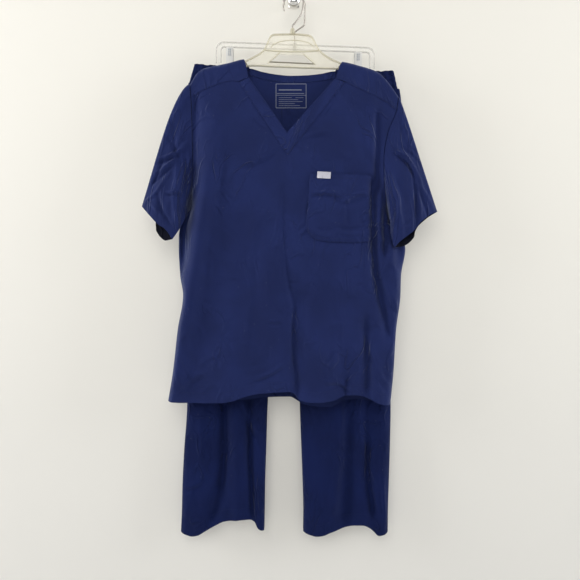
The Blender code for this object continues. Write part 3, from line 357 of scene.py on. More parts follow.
BAND_OUTER = {"left": (-123.0, -231.0), "tip": (-14.0, -396.0), "right": (115.0, -231.0)}
BAND_INNER = {"left": (-101.0, -221.0), "tip": (-15.0, -346.0), "right": (93.0, -223.0)}
YOKE_SEAM_LEFT = (
    (-228, -265),
    (-219, -259),
    (-196, -248),
    (-159, -233),
    (-137, -228.5),
    BAND_OUTER["left"],
    BAND_INNER["left"],
)
YOKE_SEAM_RIGHT = (
    BAND_INNER["right"],
    BAND_OUTER["right"],
    (143, -245),
    (186, -265.5),
    (208, -279),
    (227, -295),
)
FRONT_TOP = np.array(YOKE_SEAM_LEFT[:-1] + (BAND_OUTER["tip"],) + YOKE_SEAM_RIGHT[1:])
FRONT_HEM = Table(
    "x      z",
    (-281, -939),
    (-250, -941),
    (-232, -941.5),
    (-193, -942),
    (-159, -941.5),
    (-134, -938),
    (-112, -930.5),
    (-86, -924),
    (-60, -921),
    (-30, -919),
    (-10, -918.5),
    (0, -922),
    (15, -938),
    (36, -941.5),
    (61, -941.5),
    (91, -937),
    (111, -928.5),
    (135, -926.5),
    (153, -929),
    (175, -938),
    (190, -945.5),
    (208, -948.5),
    (216, -949),
)
HEM_CORNERS = {"left": -281.0, "right": 215.5}  # where the side seams reach the hems
FRONT_DEPTH = Table(
    "z      left  middle  right",
    (-180, -77, -77, -77),
    (-300, -84, -82, -82),
    (-450, -88, -86, -82),
    (-600, -86, -89, -80),
    (-750, -90, -91, -82),
    (-950, -94, -88, -84),
)
FRONT_FOLDS = (
    # x0    z0    x1    z1  half  height
    (-180, -310, -183, -391, 20, 8),
    (-183, -391, -191, -478, 19, 13),
    (-191, -478, -206, -572, 19, 18),
    (-206, -572, -225, -698, 19, 19),
    (-225, -698, -244, -810, 20, 16),
    (-244, -810, -262, -933, 19, 10),
    (-219, -262, -222, -440, 13, -12),
    (-226, -430, -240, -530, 14, -20),
    (-242, -500, -250, -640, 13, -26),
    (-250, -640, -258, -740, 10, -10),
    (176, -270, 174, -400, 12, 6),
    (183, -300, 184, -411, 8, -9),
    (184, -411, 187, -478, 8, -10),
    (174, -450, 176, -580, 9, -13),
    (176, -580, 182, -665, 9, -16),
    (182, -665, 202, -755, 10, -13),
    (202, -755, 208, -800, 11, -8),
    (190, -470, 191, -600, 8, 7),
    (200, -520, 204, -620, 8, -10),
    (228, -520, 240, -640, 16, -10),
    (214, -600, 222, -720, 12, 7),
    (-60, -620, -20, -900, 30, 7),
    (4, -700, 8, -925, 16, -7),
    (48, -800, 52, -950, 34, 9),
    (112, -810, 114, -928, 24, -8),
    (175, -860, 188, -955, 22, 9),
    (160, -760, 166, -925, 12, -11),
    (-150, -800, -165, -950, 40, 8),
    (70, -600, 128, -430, 55, 4),
)
FRONT_CREASES = (
    # x0    z0    x1    z1  half height bend lean: from the V, round the pocket, and at the hem
    (-126, -418, -38, -379, 4.8, 3.6, 9, 0.4),
    (-122, -428, -42, -390, 5.6, -2.8, 9, 0),
    (-92, -312, -64, -336, 4, -2.4, 3, 0),
    (-66, -300, -34, -346, 4.8, 1.8, 3, 0),
    (10, -368, 32, -352, 4, 2.2, -3, 0.2),
    (32, -352, 80, -346, 4, 2.6, -4, 0.3),
    (36, -360, 78, -356, 4, -2.6, -3, 0),
    (60, -312, 84, -284, 4, -2.4, 3, 0),
    (84, -294, 114, -299, 4, 2.0, 2, 0),
    (90, -304, 118, -310, 4.8, -1.8, 2, 0),
    (100, -388, 128, -402, 4.8, 1.8, 3, 0),
    (-22, -490, -17, -625, 5.6, -2.6, 4, 0.3),
    (-30, -480, -26, -610, 7.2, 2.4, 4, 0),
    (-17, -620, 1, -738, 5.6, -3.0, 3, 0.3),
    (-26, -640, -8, -730, 6.4, 2.4, 3, 0),
    (0, -742, 0, -860, 4, -4.2, 4, -0.4),
    (0, -850, 10, -930, 4.8, -4.0, -4, 0.3),
    (13, -735, 16, -880, 7.2, 3.4, 4, 0),
    (-88, -898, -26, -867, 4, -3.0, 4, 0.2),
    (-82, -888, -20, -856, 4.8, 2.4, 4, 0),
    (-52, -769, -30, -769, 3.2, -2.2, 1, 0),
    (-52, -762, -30, -762, 3.2, 1.6, 1, 0),
    (-37, -737, -24, -751, 3.2, -2.0, 0, 0),
    (-10, -678, 14, -678, 3.2, -1.8, 1, 0),
    (-204, -858, -174, -838, 4, 2.2, -3, 0),
    (-178, -850, -148, -830, 4, -2.2, 2, 0),
    (-240, -900, -196, -876, 4, 2.6, -4, 0),
    (-236, -912, -190, -888, 4, -2.4, -4, 0),
    (-216, -924, -180, -900, 4, 2.0, 3, 0),
    (-262, -860, -240, -905, 4.8, 2.2, 3, 0),
    (-250, -845, -226, -896, 4.8, -2.4, 3, 0),
    (-244, -800, -222, -760, 4.8, 2.0, 3, 0),
    (74, -906, 124, -920, 4, -2.8, -6, 0.2),
    (72, -896, 118, -908, 4.8, 2.6, -6, 0),
    (122, -886, 114, -928, 4, -4.4, 3, -0.4),
    (132, -878, 124, -930, 5.6, 3.4, 3, 0),
    (160, -798, 174, -850, 4.8, -3.8, 3, 0.3),
    (170, -800, 184, -852, 5.6, 3.0, 3, 0),
    (172, -850, 170, -925, 7.2, -3.6, 3, 0),
    (186, -868, 210, -904, 4, 2.8, 3, 0),
    (180, -880, 202, -914, 4, -2.4, 3, 0),
    (194, -676, 230, -752, 4.8, -3.2, 4, 0.2),
    (203, -672, 236, -740, 4.8, 2.8, 4, 0),
    (190, -590, 222, -690, 4.8, -2.4, -6, 0),
    (196, -604, 226, -650, 4, 2.4, 3, 0),
    (204, -750, 216, -800, 4, -2.4, 2, 0),
    (184, -560, 214, -600, 4, 2.2, 3, 0),
    (172, -748, 196, -782, 4.8, 2.0, 3, 0),
    (150, -640, 176, -700, 5.6, 2.0, 4, 0),
    (-140, -620, -128, -760, 19.2, 2.6, 6, 0),
    (60, -640, 66, -800, 20.8, -2.8, 5, 0),
    (-100, -470, -120, -600, 17.6, -2.2, 5, 0),
    (120, -330, 150, -420, 12.8, 2.2, 6, 0),
    (-30, -430, -20, -560, 16, 1.8, 3, 0),
    (-170, -560, -186, -690, 7.2, 2.4, 5, 0),
    (-150, -400, -168, -520, 8, -2.2, 5, 0),
    (-176, -420, -160, -350, 6.4, 2.2, -4, 0),
    (-90, -700, -104, -830, 8, 2.2, 5, 0),
    (-70, -560, -84, -690, 7.2, -2.0, 5, 0),
    (40, -700, 34, -800, 6.4, 2.0, 4, 0),
    (100, -640, 108, -760, 7.2, 2.4, 5, 0),
    (90, -760, 80, -870, 6.4, -2.2, 4, 0),
    (150, -300, 172, -350, 6.4, 2.2, 4, 0),
    (120, -270, 160, -300, 6.4, -1.6, 3, 0),
    (-196, -280, -170, -330, 6.4, 2.0, -4, 0),
    (-160, -262, -130, -290, 5.6, -1.6, -3, 0),
)
FRONT_SMALL = small_creases(11, 170, (-240, -930), (210, -430), 75, 38)


def across_depth(table, x, z):
    share = np.clip(x / 250.0, -1, 1)
    left, middle, right = (table.read(name, z) for name in ("left", "middle", "right"))
    return middle + share * (right - left) / 2 + share * share * ((right + left) / 2 - middle)


def body_y(x, z, face, inset=SIDE_ROUND, own_folds=0.0):
    """The top's depth: face -1 is the front layer and 1 the back one, each with its own folds."""
    underarm = np.where(x < 0, UNDERARM_LEFT, UNDERARM_RIGHT)
    opened = ease(underarm, underarm + ARMHOLE_ROLL, z)
    edge = opened + (1 - opened) * rounding(inset, SIDE_ROUND)
    crest = rounding(CREST.read("z", x) - z, CREST_ROUND)
    base = mix(SIDES.read("seam", z), SHOULDER_Y, ease(*SHOULDER_REACH, z))
    full = across_depth(FRONT_DEPTH if face < 0 else BACK_DEPTH, x, z) - own_folds
    reach = np.maximum(face * (full - base), LEAST_REACH)
    return base + face * (SEAM_GAP / 2 + reach * edge * crest)


def front_relief(x, z):
    """All the folds of the front, in how far they come forward."""
    main = folds(FRONT_FOLDS, x, z)
    fine = folds(FRONT_CREASES, x, z, CREASE_TAPER) + folds(FRONT_SMALL, x, z, SMALL_TAPER)
    hem_up = z - FRONT_HEM.read("z", x)
    pucker = 0.35 * hem_pucker(x / 3.1, 2.0, TOP_HEM, hem_up)
    ripple = 1.1 * uneven(x / 17.0, 5.0) * np.exp(-np.clip(hem_up, 0, None) / 30.0)
    step = 0.55 * hem_step(TOP_HEM, hem_up)
    return main + fine + pucker + ripple + step


def front_y(x, z, inset=SIDE_ROUND):
    return body_y(x, z, -1, inset, front_relief(x, z))


def edge_z(side, j, top, hem):
    """Height of a row's end: on the armhole seam, and then on the side seam."""
    underarm = UNDERARM_LEFT if side < 0 else UNDERARM_RIGHT
    upper = mix(top, underarm, np.sin(np.pi / 2 * np.clip(j / ARMHOLE_ROWS, 0, 1)))
    return np.where(j <= ARMHOLE_ROWS, upper, mix(underarm, hem, (j - ARMHOLE_ROWS) / SKIRT_ROWS))


def front_edge_x(side, j):
    name = "left" if side < 0 else "right"
    armhole = ARMHOLE_LEFT if side < 0 else ARMHOLE_RIGHT
    top = (YOKE_SEAM_LEFT[0] if side < 0 else YOKE_SEAM_RIGHT[-1])[1]
    z = edge_z(side, j, top, FRONT_HEM.read("z", HEM_CORNERS[name]))
    return np.where(j <= ARMHOLE_ROWS, armhole.read("front", z), SIDES.read(name, z))


def front_x(i, j):
    """Columns run from side to band to centre to band to side, closer together at the sides."""
    left, tip, right = (BAND_OUTER[name][0] for name in ("left", "tip", "right"))
    near = np.minimum(i, FRONT_COLUMNS - i)
    spread = 1 - np.cos(np.pi / 2 * np.clip(near / SIDE_COLUMNS, 0, 1))
    inner = np.clip((near - SIDE_COLUMNS) / NECK_COLUMNS, 0, 1)
    from_left = mix(mix(front_edge_x(-1, j), left, spread), tip, inner)
    from_right = mix(mix(front_edge_x(1, j), right, spread), tip, inner)
    return np.where(i <= FRONT_COLUMNS / 2, from_left, from_right)


def column_z(top, x_under, hem, j):
    left, right = SIDES.read("left", UNDERARM_LEFT), SIDES.read("right", UNDERARM_RIGHT)
    underarm = mix(UNDERARM_LEFT, UNDERARM_RIGHT, (x_under - left) / (right - left))
    upper = mix(top, underarm, np.sin(np.pi / 2 * np.clip(j / ARMHOLE_ROWS, 0, 1)))
    return np.where(j <= ARMHOLE_ROWS, upper, mix(underarm, hem, (j - ARMHOLE_ROWS) / SKIRT_ROWS))


def front_grid(columns, rows):
    j, i = np.meshgrid(rows, columns, indexing="ij")
    x = front_x(i, j)
    last = np.full_like(i, ARMHOLE_ROWS + SKIRT_ROWS)
    top = np.interp(front_x(i, np.zeros_like(i)), FRONT_TOP[:, 0], FRONT_TOP[:, 1]) - SEAM_GAP / 2
    hem = FRONT_HEM.read("z", front_x(i, last))
    z = column_z(top, front_x(i, np.full_like(i, ARMHOLE_ROWS)), hem, j)
    edge = np.where(x < 0, front_edge_x(-1, j), front_edge_x(1, j))
    return np.stack([x, front_y(x, z, np.abs(x - edge)), z], axis=2)


def body_rows(armhole, skirt):
    """Rows from the shoulder (0) to the hem, evenly down the armhole and then down the skirt."""
    upper = ARMHOLE_ROWS * 2 / np.pi * np.arcsin(np.linspace(0, 1, armhole + 1))
    return np.concatenate([upper, ARMHOLE_ROWS + SKIRT_ROWS * np.linspace(0, 1, skirt + 1)[1:]])


# Materials of the cloth. A twill's fine diagonal ribs, the threads' unevenness and a slight
# crumple are one group, which every cloth takes with its own pitch and depth.

def node_group(name, inputs, outputs):
    group = bpy.data.node_groups.new(name, "ShaderNodeTree")
    for socket, kind, value in inputs:
        made = group.interface.new_socket(socket, in_out="INPUT", socket_type=kind)
        if value is not None:
            made.default_value = value
    for socket, kind in outputs:
        group.interface.new_socket(socket, in_out="OUTPUT", socket_type=kind)
    return group


class Wiring:
    """Adds nodes to a tree and joins them, in the order that light would read them."""

    def __init__(self, tree):
        self.tree = tree

    def give(self, node, values):
        for socket, value in dict(values).items():
            if isinstance(value, bpy.types.NodeSocket):
                self.tree.links.new(value, node.inputs[socket])
            else:
                node.inputs[socket].default_value = value

    def node(self, kind, values=(), **settings):
        made = self.tree.nodes.new(kind)
        for name, value in settings.items():
            setattr(made, name, value)
        self.give(made, values)
        return made

    def noise(self, place, scale, **values):
        return self.node("ShaderNodeTexNoise", {"Vector": place, "Scale": scale, **values}).outputs["Fac"]

    def math(self, operation, first, second=0.0, third=0.0):
        return self.node("ShaderNodeMath", {0: first, 1: second, 2: third}, operation=operation).outputs[0]

    def remap(self, value, low, high, start=0.0, end=1.0):
        values = {0: value, 1: low, 2: high, 3: start, 4: end}
        return self.node("ShaderNodeMapRange", values, interpolation_type="SMOOTHSTEP").outputs[0]

    def blend(self, share, first, second):
        values = {0: share, 6: first, 7: second}
        return self.node("ShaderNodeMix", values, data_type="RGBA").outputs[2]


def new_material(name):
    """A material, what wires its nodes, and its shader."""
    made = bpy.data.materials.new(name)
    made.use_nodes = True
    return made, Wiring(made.node_tree), made.node_tree.nodes["Principled BSDF"]


def twill_group():
    """Height and shade of a twill: ribs at 'Pitch' metres, on coordinates in metres."""
    inputs = (
        ("Vector", "NodeSocketVector", None),
        ("Pitch", "NodeSocketFloat", 0.0006),
        ("Crumple", "NodeSocketFloat", 0.5),
    )
    outputs = (("Height", "NodeSocketFloat"), ("Shade", "NodeSocketFloat"), ("Wrinkle", "NodeSocketFloat"))
    group = node_group("twill", inputs, outputs)
    to = Wiring(group)
    given = to.node("NodeGroupInput")
    place = given.outputs["Vector"]
    scale = to.math("DIVIDE", 0.314159, given.outputs["Pitch"])
    turned = to.node("ShaderNodeMapping", {"Vector": place, "Rotation": (0, 0, np.radians(58))}).outputs[0]
    wave = {"Vector": turned, "Scale": scale, "Distortion": 1.2, "Detail": 1.0, "Detail Scale": 0.6}
    ribs = to.node("ShaderNodeTexWave", wave, wave_type="BANDS").outputs["Fac"]
    threads = to.noise(place, 900.0, Detail=2.0)
    crumple = to.noise(place, 70.0, Detail=3.0, Roughness=0.55)
    fine = to.math("MULTIPLY_ADD", threads, 0.5, ribs)
    deep = to.math("MULTIPLY", crumple, given.outputs["Crumple"])
    height = to.math("MULTIPLY_ADD", deep, 4.0, fine)
    cloudy = to.noise(place, 9.0, Detail=4.0)
    shade = to.math("MULTIPLY_ADD", ribs, 0.12, to.remap(cloudy, 0.3, 0.7, 0.86, 1.04))
    drawn = to.node("ShaderNodeMapping", {"Vector": place, "Scale": (1.0, 0.55, 1.0)}).outputs[0]
    swell = to.noise(drawn, 24.0, Detail=1.5, Distortion=0.7)
    off_centre = to.math("ABSOLUTE", to.math("MULTIPLY_ADD", swell, 2.0, -1.0))
    ridge = to.remap(off_centre, 0.14, 0.0)
    places = to.noise(place, 8.0, Detail=1.0)
    wrinkle = to.math("MULTIPLY", ridge, to.remap(places, 0.45, 0.62))
    result = to.node("NodeGroupOutput")
    to.give(result, {"Height": height, "Shade": shade, "Wrinkle": wrinkle})
    return group


TWILL = twill_group()
NAVY = (0.0112, 0.0192, 0.0870)


def cloth_material(name, colour, pitch=0.0006, crumple=0.5, sheen=0.26, lint=1.0):
    made, to, shader = new_material(name)
    place = to.node("ShaderNodeUVMap", uv_map="cloth").outputs[0]
    given = {"Vector": place, "Pitch": pitch, "Crumple": crumple}
    weave = to.node("ShaderNodeGroup", given, node_tree=TWILL)
    dark = tuple(0.8 * part for part in colour) + (1,)
    light = tuple(1.16 * part for part in colour) + (1,)
    shown = to.blend(to.remap(weave.outputs["Shade"], 0.84, 1.16), dark, light)
    specks = to.node("ShaderNodeTexVoronoi", {"Vector": place, "Scale": 42.0, "Randomness": 1.0})
    fluff = to.math("MULTIPLY", to.remap(specks.outputs["Distance"], 0.055, 0.02), 0.16 * lint)
    creased = {"Height": weave.outputs["Wrinkle"], "Strength": 0.9, "Distance": 0.0022}
    creased = to.node("ShaderNodeBump", creased).outputs[0]
    woven = {"Height": weave.outputs["Height"], "Strength": 0.5, "Distance": 0.00016, "Normal": creased}
    to.give(shader, {
        "Base Color": to.blend(fluff, shown, (0.32, 0.33, 0.40, 1)),
        "Roughness": 0.78,
        "Specular IOR Level": 0.1,
        "Sheen Weight": sheen,
        "Sheen Roughness": 0.42,
        "Sheen Tint": (0.58, 0.67, 1.0, 1),
        "Normal": to.node("ShaderNodeBump", woven).outputs[0],
    })
    return made


THREAD = (0.009, 0.013, 0.062)
navy_twill = cloth_material("navy_twill", NAVY)
navy_thread = cloth_material("navy_thread", THREAD, pitch=0.0003, crumple=0.0, sheen=0.1, lint=0.0)

front = front_grid(np.linspace(0, FRONT_COLUMNS, 193), body_rows(62, 142))
front_hem = (front[..., 2] - FRONT_HEM.read("z", front[..., 0])) < TOP_HEM
top_front = cloth_shell(
    "top_front_panel", front, -1, navy_twill, anchor=(62, 96), thick=np.where(front_hem, 2 * CLOTH, CLOTH),
)
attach(top_front, "root")
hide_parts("top_front")
front_sewing = sew("front_hem_stitching", [seam_line(front, -1, TOP_HEM - HEM_STITCH, "bottom")], navy_thread)


# ---------------------------------------------------------------- top: back panel and yoke
# The back runs up over both shoulders as a yoke and ends on the front, in a lapped seam sewn
# twice. Its hem hangs a little lower than the front's.

TURN_ROWS, YOKE_ROWS = 2, 4
NECK_FIRST = SIDE_COLUMNS + 1  # the column where the neckline starts
BACK_COLUMNS = 2 * (NECK_FIRST + NECK_COLUMNS)
NECK_LAST = BACK_COLUMNS - NECK_FIRST
YOKE_SEAM = np.array(YOKE_SEAM_LEFT + YOKE_SEAM_RIGHT)
YOKE_LAP = 1.2  # how far its folded edge lies over the front
BACK_NECK = {"left": (-121.0, -99.0), "middle": -5.0, "right": (113.0, 93.0)}
NECK_ON_CREST = {"left": -113.5, "right": 112.0}
NECK_STRIP = 16.0
BACK_EDGE = {"left": (-226.0, -230.0, -228.0), "right": (231.0, 233.0, 227.0)}
BACK_TOP = Table(
    "x      z",
    (-226, -246),
    (-212, -222),
    (-176, -210),
    (-142, -203),
    (-121, -198),
    (-99, -194),
    (-72, -201),
    (-40, -207),
    (-6, -210),
    (28, -209),
    (59, -206),
    (93, -200),
    (113, -202),
    (148, -210),
    (177, -220),
    (204, -239),
    (231, -279),
)
BACK_HEM = Table(
    "x      z",
    (-281, -939),
    (-200, -941),
    (-155, -942),
    (-120, -943.5),
    (-63, -937),
    (-8, -936),
    (6, -943),
    (22, -953),
    (52, -958.5),
    (82, -959.5),
    (101, -951),
    (114, -943.5),
    (150, -941.5),
    (175, -945),
    (216, -949),
)
BACK_DEPTH = Table(
    "z      left  middle  right",
    (-180, -55, -55, -55),
    (-300, -53, -54, -53),
    (-600, -51, -50, -51),
    (-950, -52, -51, -52),
)
BACK_FOLDS = (
    # x0    z0    x1    z1  half  height
    (-150, -330, -175, -930, 32, -3),
    (-60, -500, -75, -940, 36, 2),
    (20, -420, 30, -930, 34, -3),
    (120, -360, 140, -930, 34, 2),
)
BACK_CREASES = (
    # x0    z0    x1    z1  half height bend lean: across the shoulder blades, and down to the hem
    (-170, -300, -60, -330, 12, -1.6, 8, 0),
    (-160, -330, -70, -352, 12, 1.4, 8, 0.2),
    (60, -320, 160, -300, 12, -1.5, -8, 0),
    (-200, -560, -150, -640, 8, -1.4, 5, 0.2),
    (-190, -600, -120, -700, 9, 1.3, 6, 0),
    (150, -560, 196, -640, 8, 1.4, 5, 0),
    (-20, -620, -30, -900, 12, -1.6, 6, 0.3),
    (70, -700, 86, -930, 12, 1.6, 4, 0),
    (-110, -760, -120, -940, 14, 1.8, 4, 0),
    (150, -780, 168, -940, 12, -1.6, 4, 0),
)
BACK_SMALL = small_creases(12, 70, (-240, -940), (210, -260), 80, 40)


def back_y(x, z, inset):
    """The back layer hangs behind the hanger: its folds come forward, as the front's do."""
    hem_up = z - BACK_HEM.read("z", x)
    fine = folds(BACK_CREASES, x, z, CREASE_TAPER) + folds(BACK_SMALL, x, z, SMALL_TAPER)
    fine += 0.35 * hem_pucker(x / 3.3, 4.0, TOP_HEM, hem_up)
    fine -= 0.5 * hem_step(TOP_HEM, hem_up)
    return body_y(x, z, 1, inset, folds(BACK_FOLDS, x, z) + 0.8 * fine)


def over_shoulder(j):
    """How far a yoke row has turned over the crest, and how far it has come down in front."""
    return np.clip(-j / TURN_ROWS, 0, 1), np.clip((-j - TURN_ROWS) / YOKE_ROWS, 0, 1)


def back_edge_x(side, j):
    name = "left" if side < 0 else "right"
    armhole = ARMHOLE_LEFT if side < 0 else ARMHOLE_RIGHT
    base, crest, seam = BACK_EDGE[name]
    turned, forward = over_shoulder(j)
    yoke = mix(mix(base, crest, turned), seam, 1 - np.cos(np.pi / 2 * forward))
    z = edge_z(side, j, BACK_TOP.read("z", base), BACK_HEM.read("z", HEM_CORNERS[name]))
    upper = mix(base, armhole.read("back", z), np.clip(j, 0, 1))
    lower = np.where(j > ARMHOLE_ROWS, SIDES.read(name, z), upper)
    return np.where(j < 0, yoke, lower)


def back_x(i, j):
    turned, forward = over_shoulder(j)
    near = np.minimum(i, BACK_COLUMNS - i)
    ways = []
    for side, name in ((-1, "left"), (1, "right")):
        outer, inner = BACK_NECK[name]
        inner = mix(mix(inner, NECK_ON_CREST[name], turned), BAND_INNER[name][0], forward)
        outer = mix(outer, NECK_ON_CREST[name] + side * NECK_STRIP, turned)
        outer = mix(outer, BAND_OUTER[name][0], forward)
        spread = 1 - np.cos(np.pi / 2 * np.clip(near / SIDE_COLUMNS, 0, 1))
        x = mix(back_edge_x(side, j), outer, spread)
        x = mix(x, inner, np.clip(near - SIDE_COLUMNS, 0, 1))
        ways.append(mix(x, BACK_NECK["middle"], np.clip((near - NECK_FIRST) / NECK_COLUMNS, 0, 1)))
    return np.where(i <= BACK_COLUMNS / 2, ways[0], ways[1])


def back_grid(columns, rows):
    """The back as a grid: row -6 is the forward seam, -2 the crest, 0 just behind it, 18 the hem."""
    j, i = np.meshgrid(rows, columns, indexing="ij")
    x = back_x(i, j)
    edge = np.where(x < 0, back_edge_x(-1, j), back_edge_x(1, j))
    inset = np.abs(x - edge)
    crest = CREST.read("z", x)
    turned, forward = over_shoulder(j)
    base_z = BACK_TOP.read("z", back_x(i, np.zeros_like(i)))
    seam_row = np.full_like(i, -TURN_ROWS - YOKE_ROWS)
    seam_z = np.interp(back_x(i, seam_row), YOKE_SEAM[:, 0], YOKE_SEAM[:, 1]) - YOKE_LAP
    behind = mix(crest, base_z, 1 - np.cos(np.pi / 2 * (1 - turned)))
    before = mix(crest, seam_z, 1 - np.cos(np.pi / 2 * forward))
    last = np.full_like(i, ARMHOLE_ROWS + SKIRT_ROWS)
    hem = BACK_HEM.read("z", back_x(i, last))
    below = column_z(base_z, back_x(i, np.full_like(i, ARMHOLE_ROWS)), hem, j)
    z = np.where(j >= 0, below, np.where(j >= -TURN_ROWS, behind, before))
    lap = 1.35 * ease(14.0, 2.0, z - seam_z) + 0.25 * uneven(x / 3.4, 1.0) * np.exp(-(z - seam_z) / 8.0)
    front_side = front_y(x, z, inset) - lap
    return np.stack([x, np.where(j < -TURN_ROWS, front_side, back_y(x, z, inset)), z], axis=2)


back_columns = np.linspace(0, BACK_COLUMNS, 157)
yoke_rows = np.linspace(-TURN_ROWS - YOKE_ROWS, -TURN_ROWS, 25)[:-1]
back_rows = np.concatenate([yoke_rows, np.linspace(-TURN_ROWS, 0, 17)[:-1], body_rows(50, 96)])
back = back_grid(back_columns, back_rows)
cell_row, cell_column = np.meshgrid(back_rows[:-1], back_columns[:-1], indexing="ij")
over_neck = (cell_row < -1e-6) & (cell_column > NECK_FIRST - 1e-6) & (cell_column < NECK_LAST - 1e-6)
top_back = cloth_shell("top_back_panel", back, 1, navy_twill, keep=~over_neck, anchor=(90, 78))
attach(top_back, "root")
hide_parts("top_back")
yoke_sewing = []
for half in (slice(0, 43), slice(114, 157)):
    for distance in (FIRST_ROW, SECOND_ROW):
        yoke_sewing.append(seam_line(back[:25, half], 1, distance, "top"))
back_sewing = [
    sew("yoke_stitching", yoke_sewing, navy_thread),
    sew("back_hem_stitching", [seam_line(back, 1, TOP_HEM - HEM_STITCH, "bottom")], navy_thread),
]


# ---------------------------------------------------------------- top: sleeves
# Set-in short sleeves of the same twill, hanging down from the hanger's ends. Their cuffs stand
# half open, and their outer edges catch the light where the cloth creases.

SLEEVES = {
    # the cuff's outer and inner corner (x, z) and the depth at each, half its thickness, and how
    # far the outer edge swells between shoulder and cuff
    "left": {"outer": (-338, -508), "inner": (-266, -583), "depth": (-74, -99), "half": 14, "swell": 17},
    "right": {"outer": (319, -520), "inner": (221, -600), "depth": (-75, -93), "half": 15, "swell": 2},
}
CUFFS = {
    "left": Table(
        "share  front  back",
        (0.00, 0.0, 0.0),
        (0.40, 0.0, 1.0),
        (0.50, 0.0, 8.0),
        (0.60, -1.0, 15.0),
        (0.75, -4.5, 17.0),
        (0.88, -3.0, 15.0),
        (1.00, 0.0, 0.0),
    ),
    "right": Table(
        "share  front  back",
        (0.00, 0.0, 0.0),
        (0.20, -6.0, -3.0),
        (0.37, -6.5, -2.0),
        (0.50, -3.0, 3.0),
        (0.60, -1.5, 12.0),
        (0.72, -2.0, 14.0),
        (0.84, -2.5, 12.0),
        (1.00, 0.0, 0.0),
    ),
}
SLEEVE_CREASES = {
    "left": (
        # x0    z0    x1    z1  half height bend lean
        (-310, -404, -246, -380, 4.2, 4.0, 5, 0.3),
        (-312, -416, -250, -392, 4.2, -3.4, 5, 0),
        (-320, -440, -262, -402, 4.2, 3.6, 5, 0.3),
        (-324, -462, -270, -420, 4.9, -3.4, 6, 0),
        (-330, -500, -286, -452, 4.2, 3.2, 5, 0),
        (-316, -467, -290, -408, 3.5, -3.0, 3, 0),
        (-268, -330, -250, -420, 5.6, -3.0, 4, 0),
        (-290, -370, -262, -300, 4.9, 2.6, -5, 0),
        (-284, -350, -262, -392, 4.2, -2.4, -3, 0),
        (-300, -480, -262, -560, 5.6, -3.4, 5, 0.2),
        (-262, -470, -252, -560, 5.6, 3.4, 3, 0),
        (-276, -486, -248, -484, 2.8, -3.0, 2, 0),
        (-276, -478, -248, -476, 2.8, 2.4, 2, 0),
        (-240, -400, -242, -520, 5.6, -4.0, -4, 0),
        (-300, -520, -318, -500, 3.5, 2.2, 2, 0),
        (-258, -420, -252, -480, 4.2, 2.6, 3, 0),
    ),
    "right": (
        (220, -386, 258, -412, 3.5, 3.8, -4, 0.3),
        (256, -410, 284, -470, 4.2, 3.8, -4, 0.3),
        (280, -466, 312, -522, 4.2, 3.4, -3, 0.2),
        (226, -396, 268, -450, 4.2, -4.0, -8, 0.2),
        (236, -378, 290, -440, 4.2, -3.4, -8, 0),
        (246, -372, 318, -470, 4.2, -3.2, -12, 0),
        (238, -388, 268, -450, 3.5, 3.4, -5, 0),
        (266, -448, 278, -528, 4.2, 3.2, -3, 0.2),
        (270, -470, 296, -540, 4.2, -3.2, -3, 0),
        (242, -396, 264, -450, 3.5, -3.0, -3, 0),
        (264, -448, 266, -556, 4.9, -3.4, -3, 0),
        (262, -362, 300, -420, 4.2, 3.0, -5, 0),
        (276, -376, 308, -440, 3.5, -2.4, -5, 0),
        (214, -440, 236, -590, 5.6, 3.0, -4, 0),
        (290, -440, 312, -510, 3.5, 3.0, -3, 0),
        (232, -310, 250, -370, 6.3, -2.4, 3, 0),
        (250, -300, 270, -350, 4.9, 2.2, 3, 0),
    ),
}
SEAM_CLEAR = 1.3  # how far outside the body's seam the sleeve's own edge lies
CREASE_DEEP = 1.5
INNER_EDGE_SWING = -5.0
INNER_EDGE_FORWARD = 20.0
SLEEVE_SWELL = 5.0
RING_SPREAD = 1.15
CUFF_HEM = 24.0


def armhole_loop(side):
    """The armhole seam from the crest down the front to the underarm and up the back: the points,
    which layer each lies on, and its share of the way down."""
    front_i = np.array([0.0 if side < 0 else FRONT_COLUMNS])
    back_i = np.array([0.0 if side < 0 else BACK_COLUMNS])
    down = 2 / np.pi * np.arcsin(np.linspace(0, 1, 67)) * ARMHOLE_ROWS
    yoke = back_grid(back_i, np.linspace(-2, -6, 17)[:-1])[:, 0]
    before = front_grid(front_i, down)[:, 0]
    behind = back_grid(back_i, np.concatenate([down[-2::-1], np.linspace(0, -2, 13)[1:-1]]))[:, 0]
    points = np.concatenate([yoke, before, behind])
    face = np.concatenate([-np.ones(len(yoke) + len(before)), np.ones(len(behind))])
    top, bottom = points[0, 2], points[:, 2].min()
    return points, face, (top - points[:, 2]) / (top - bottom)


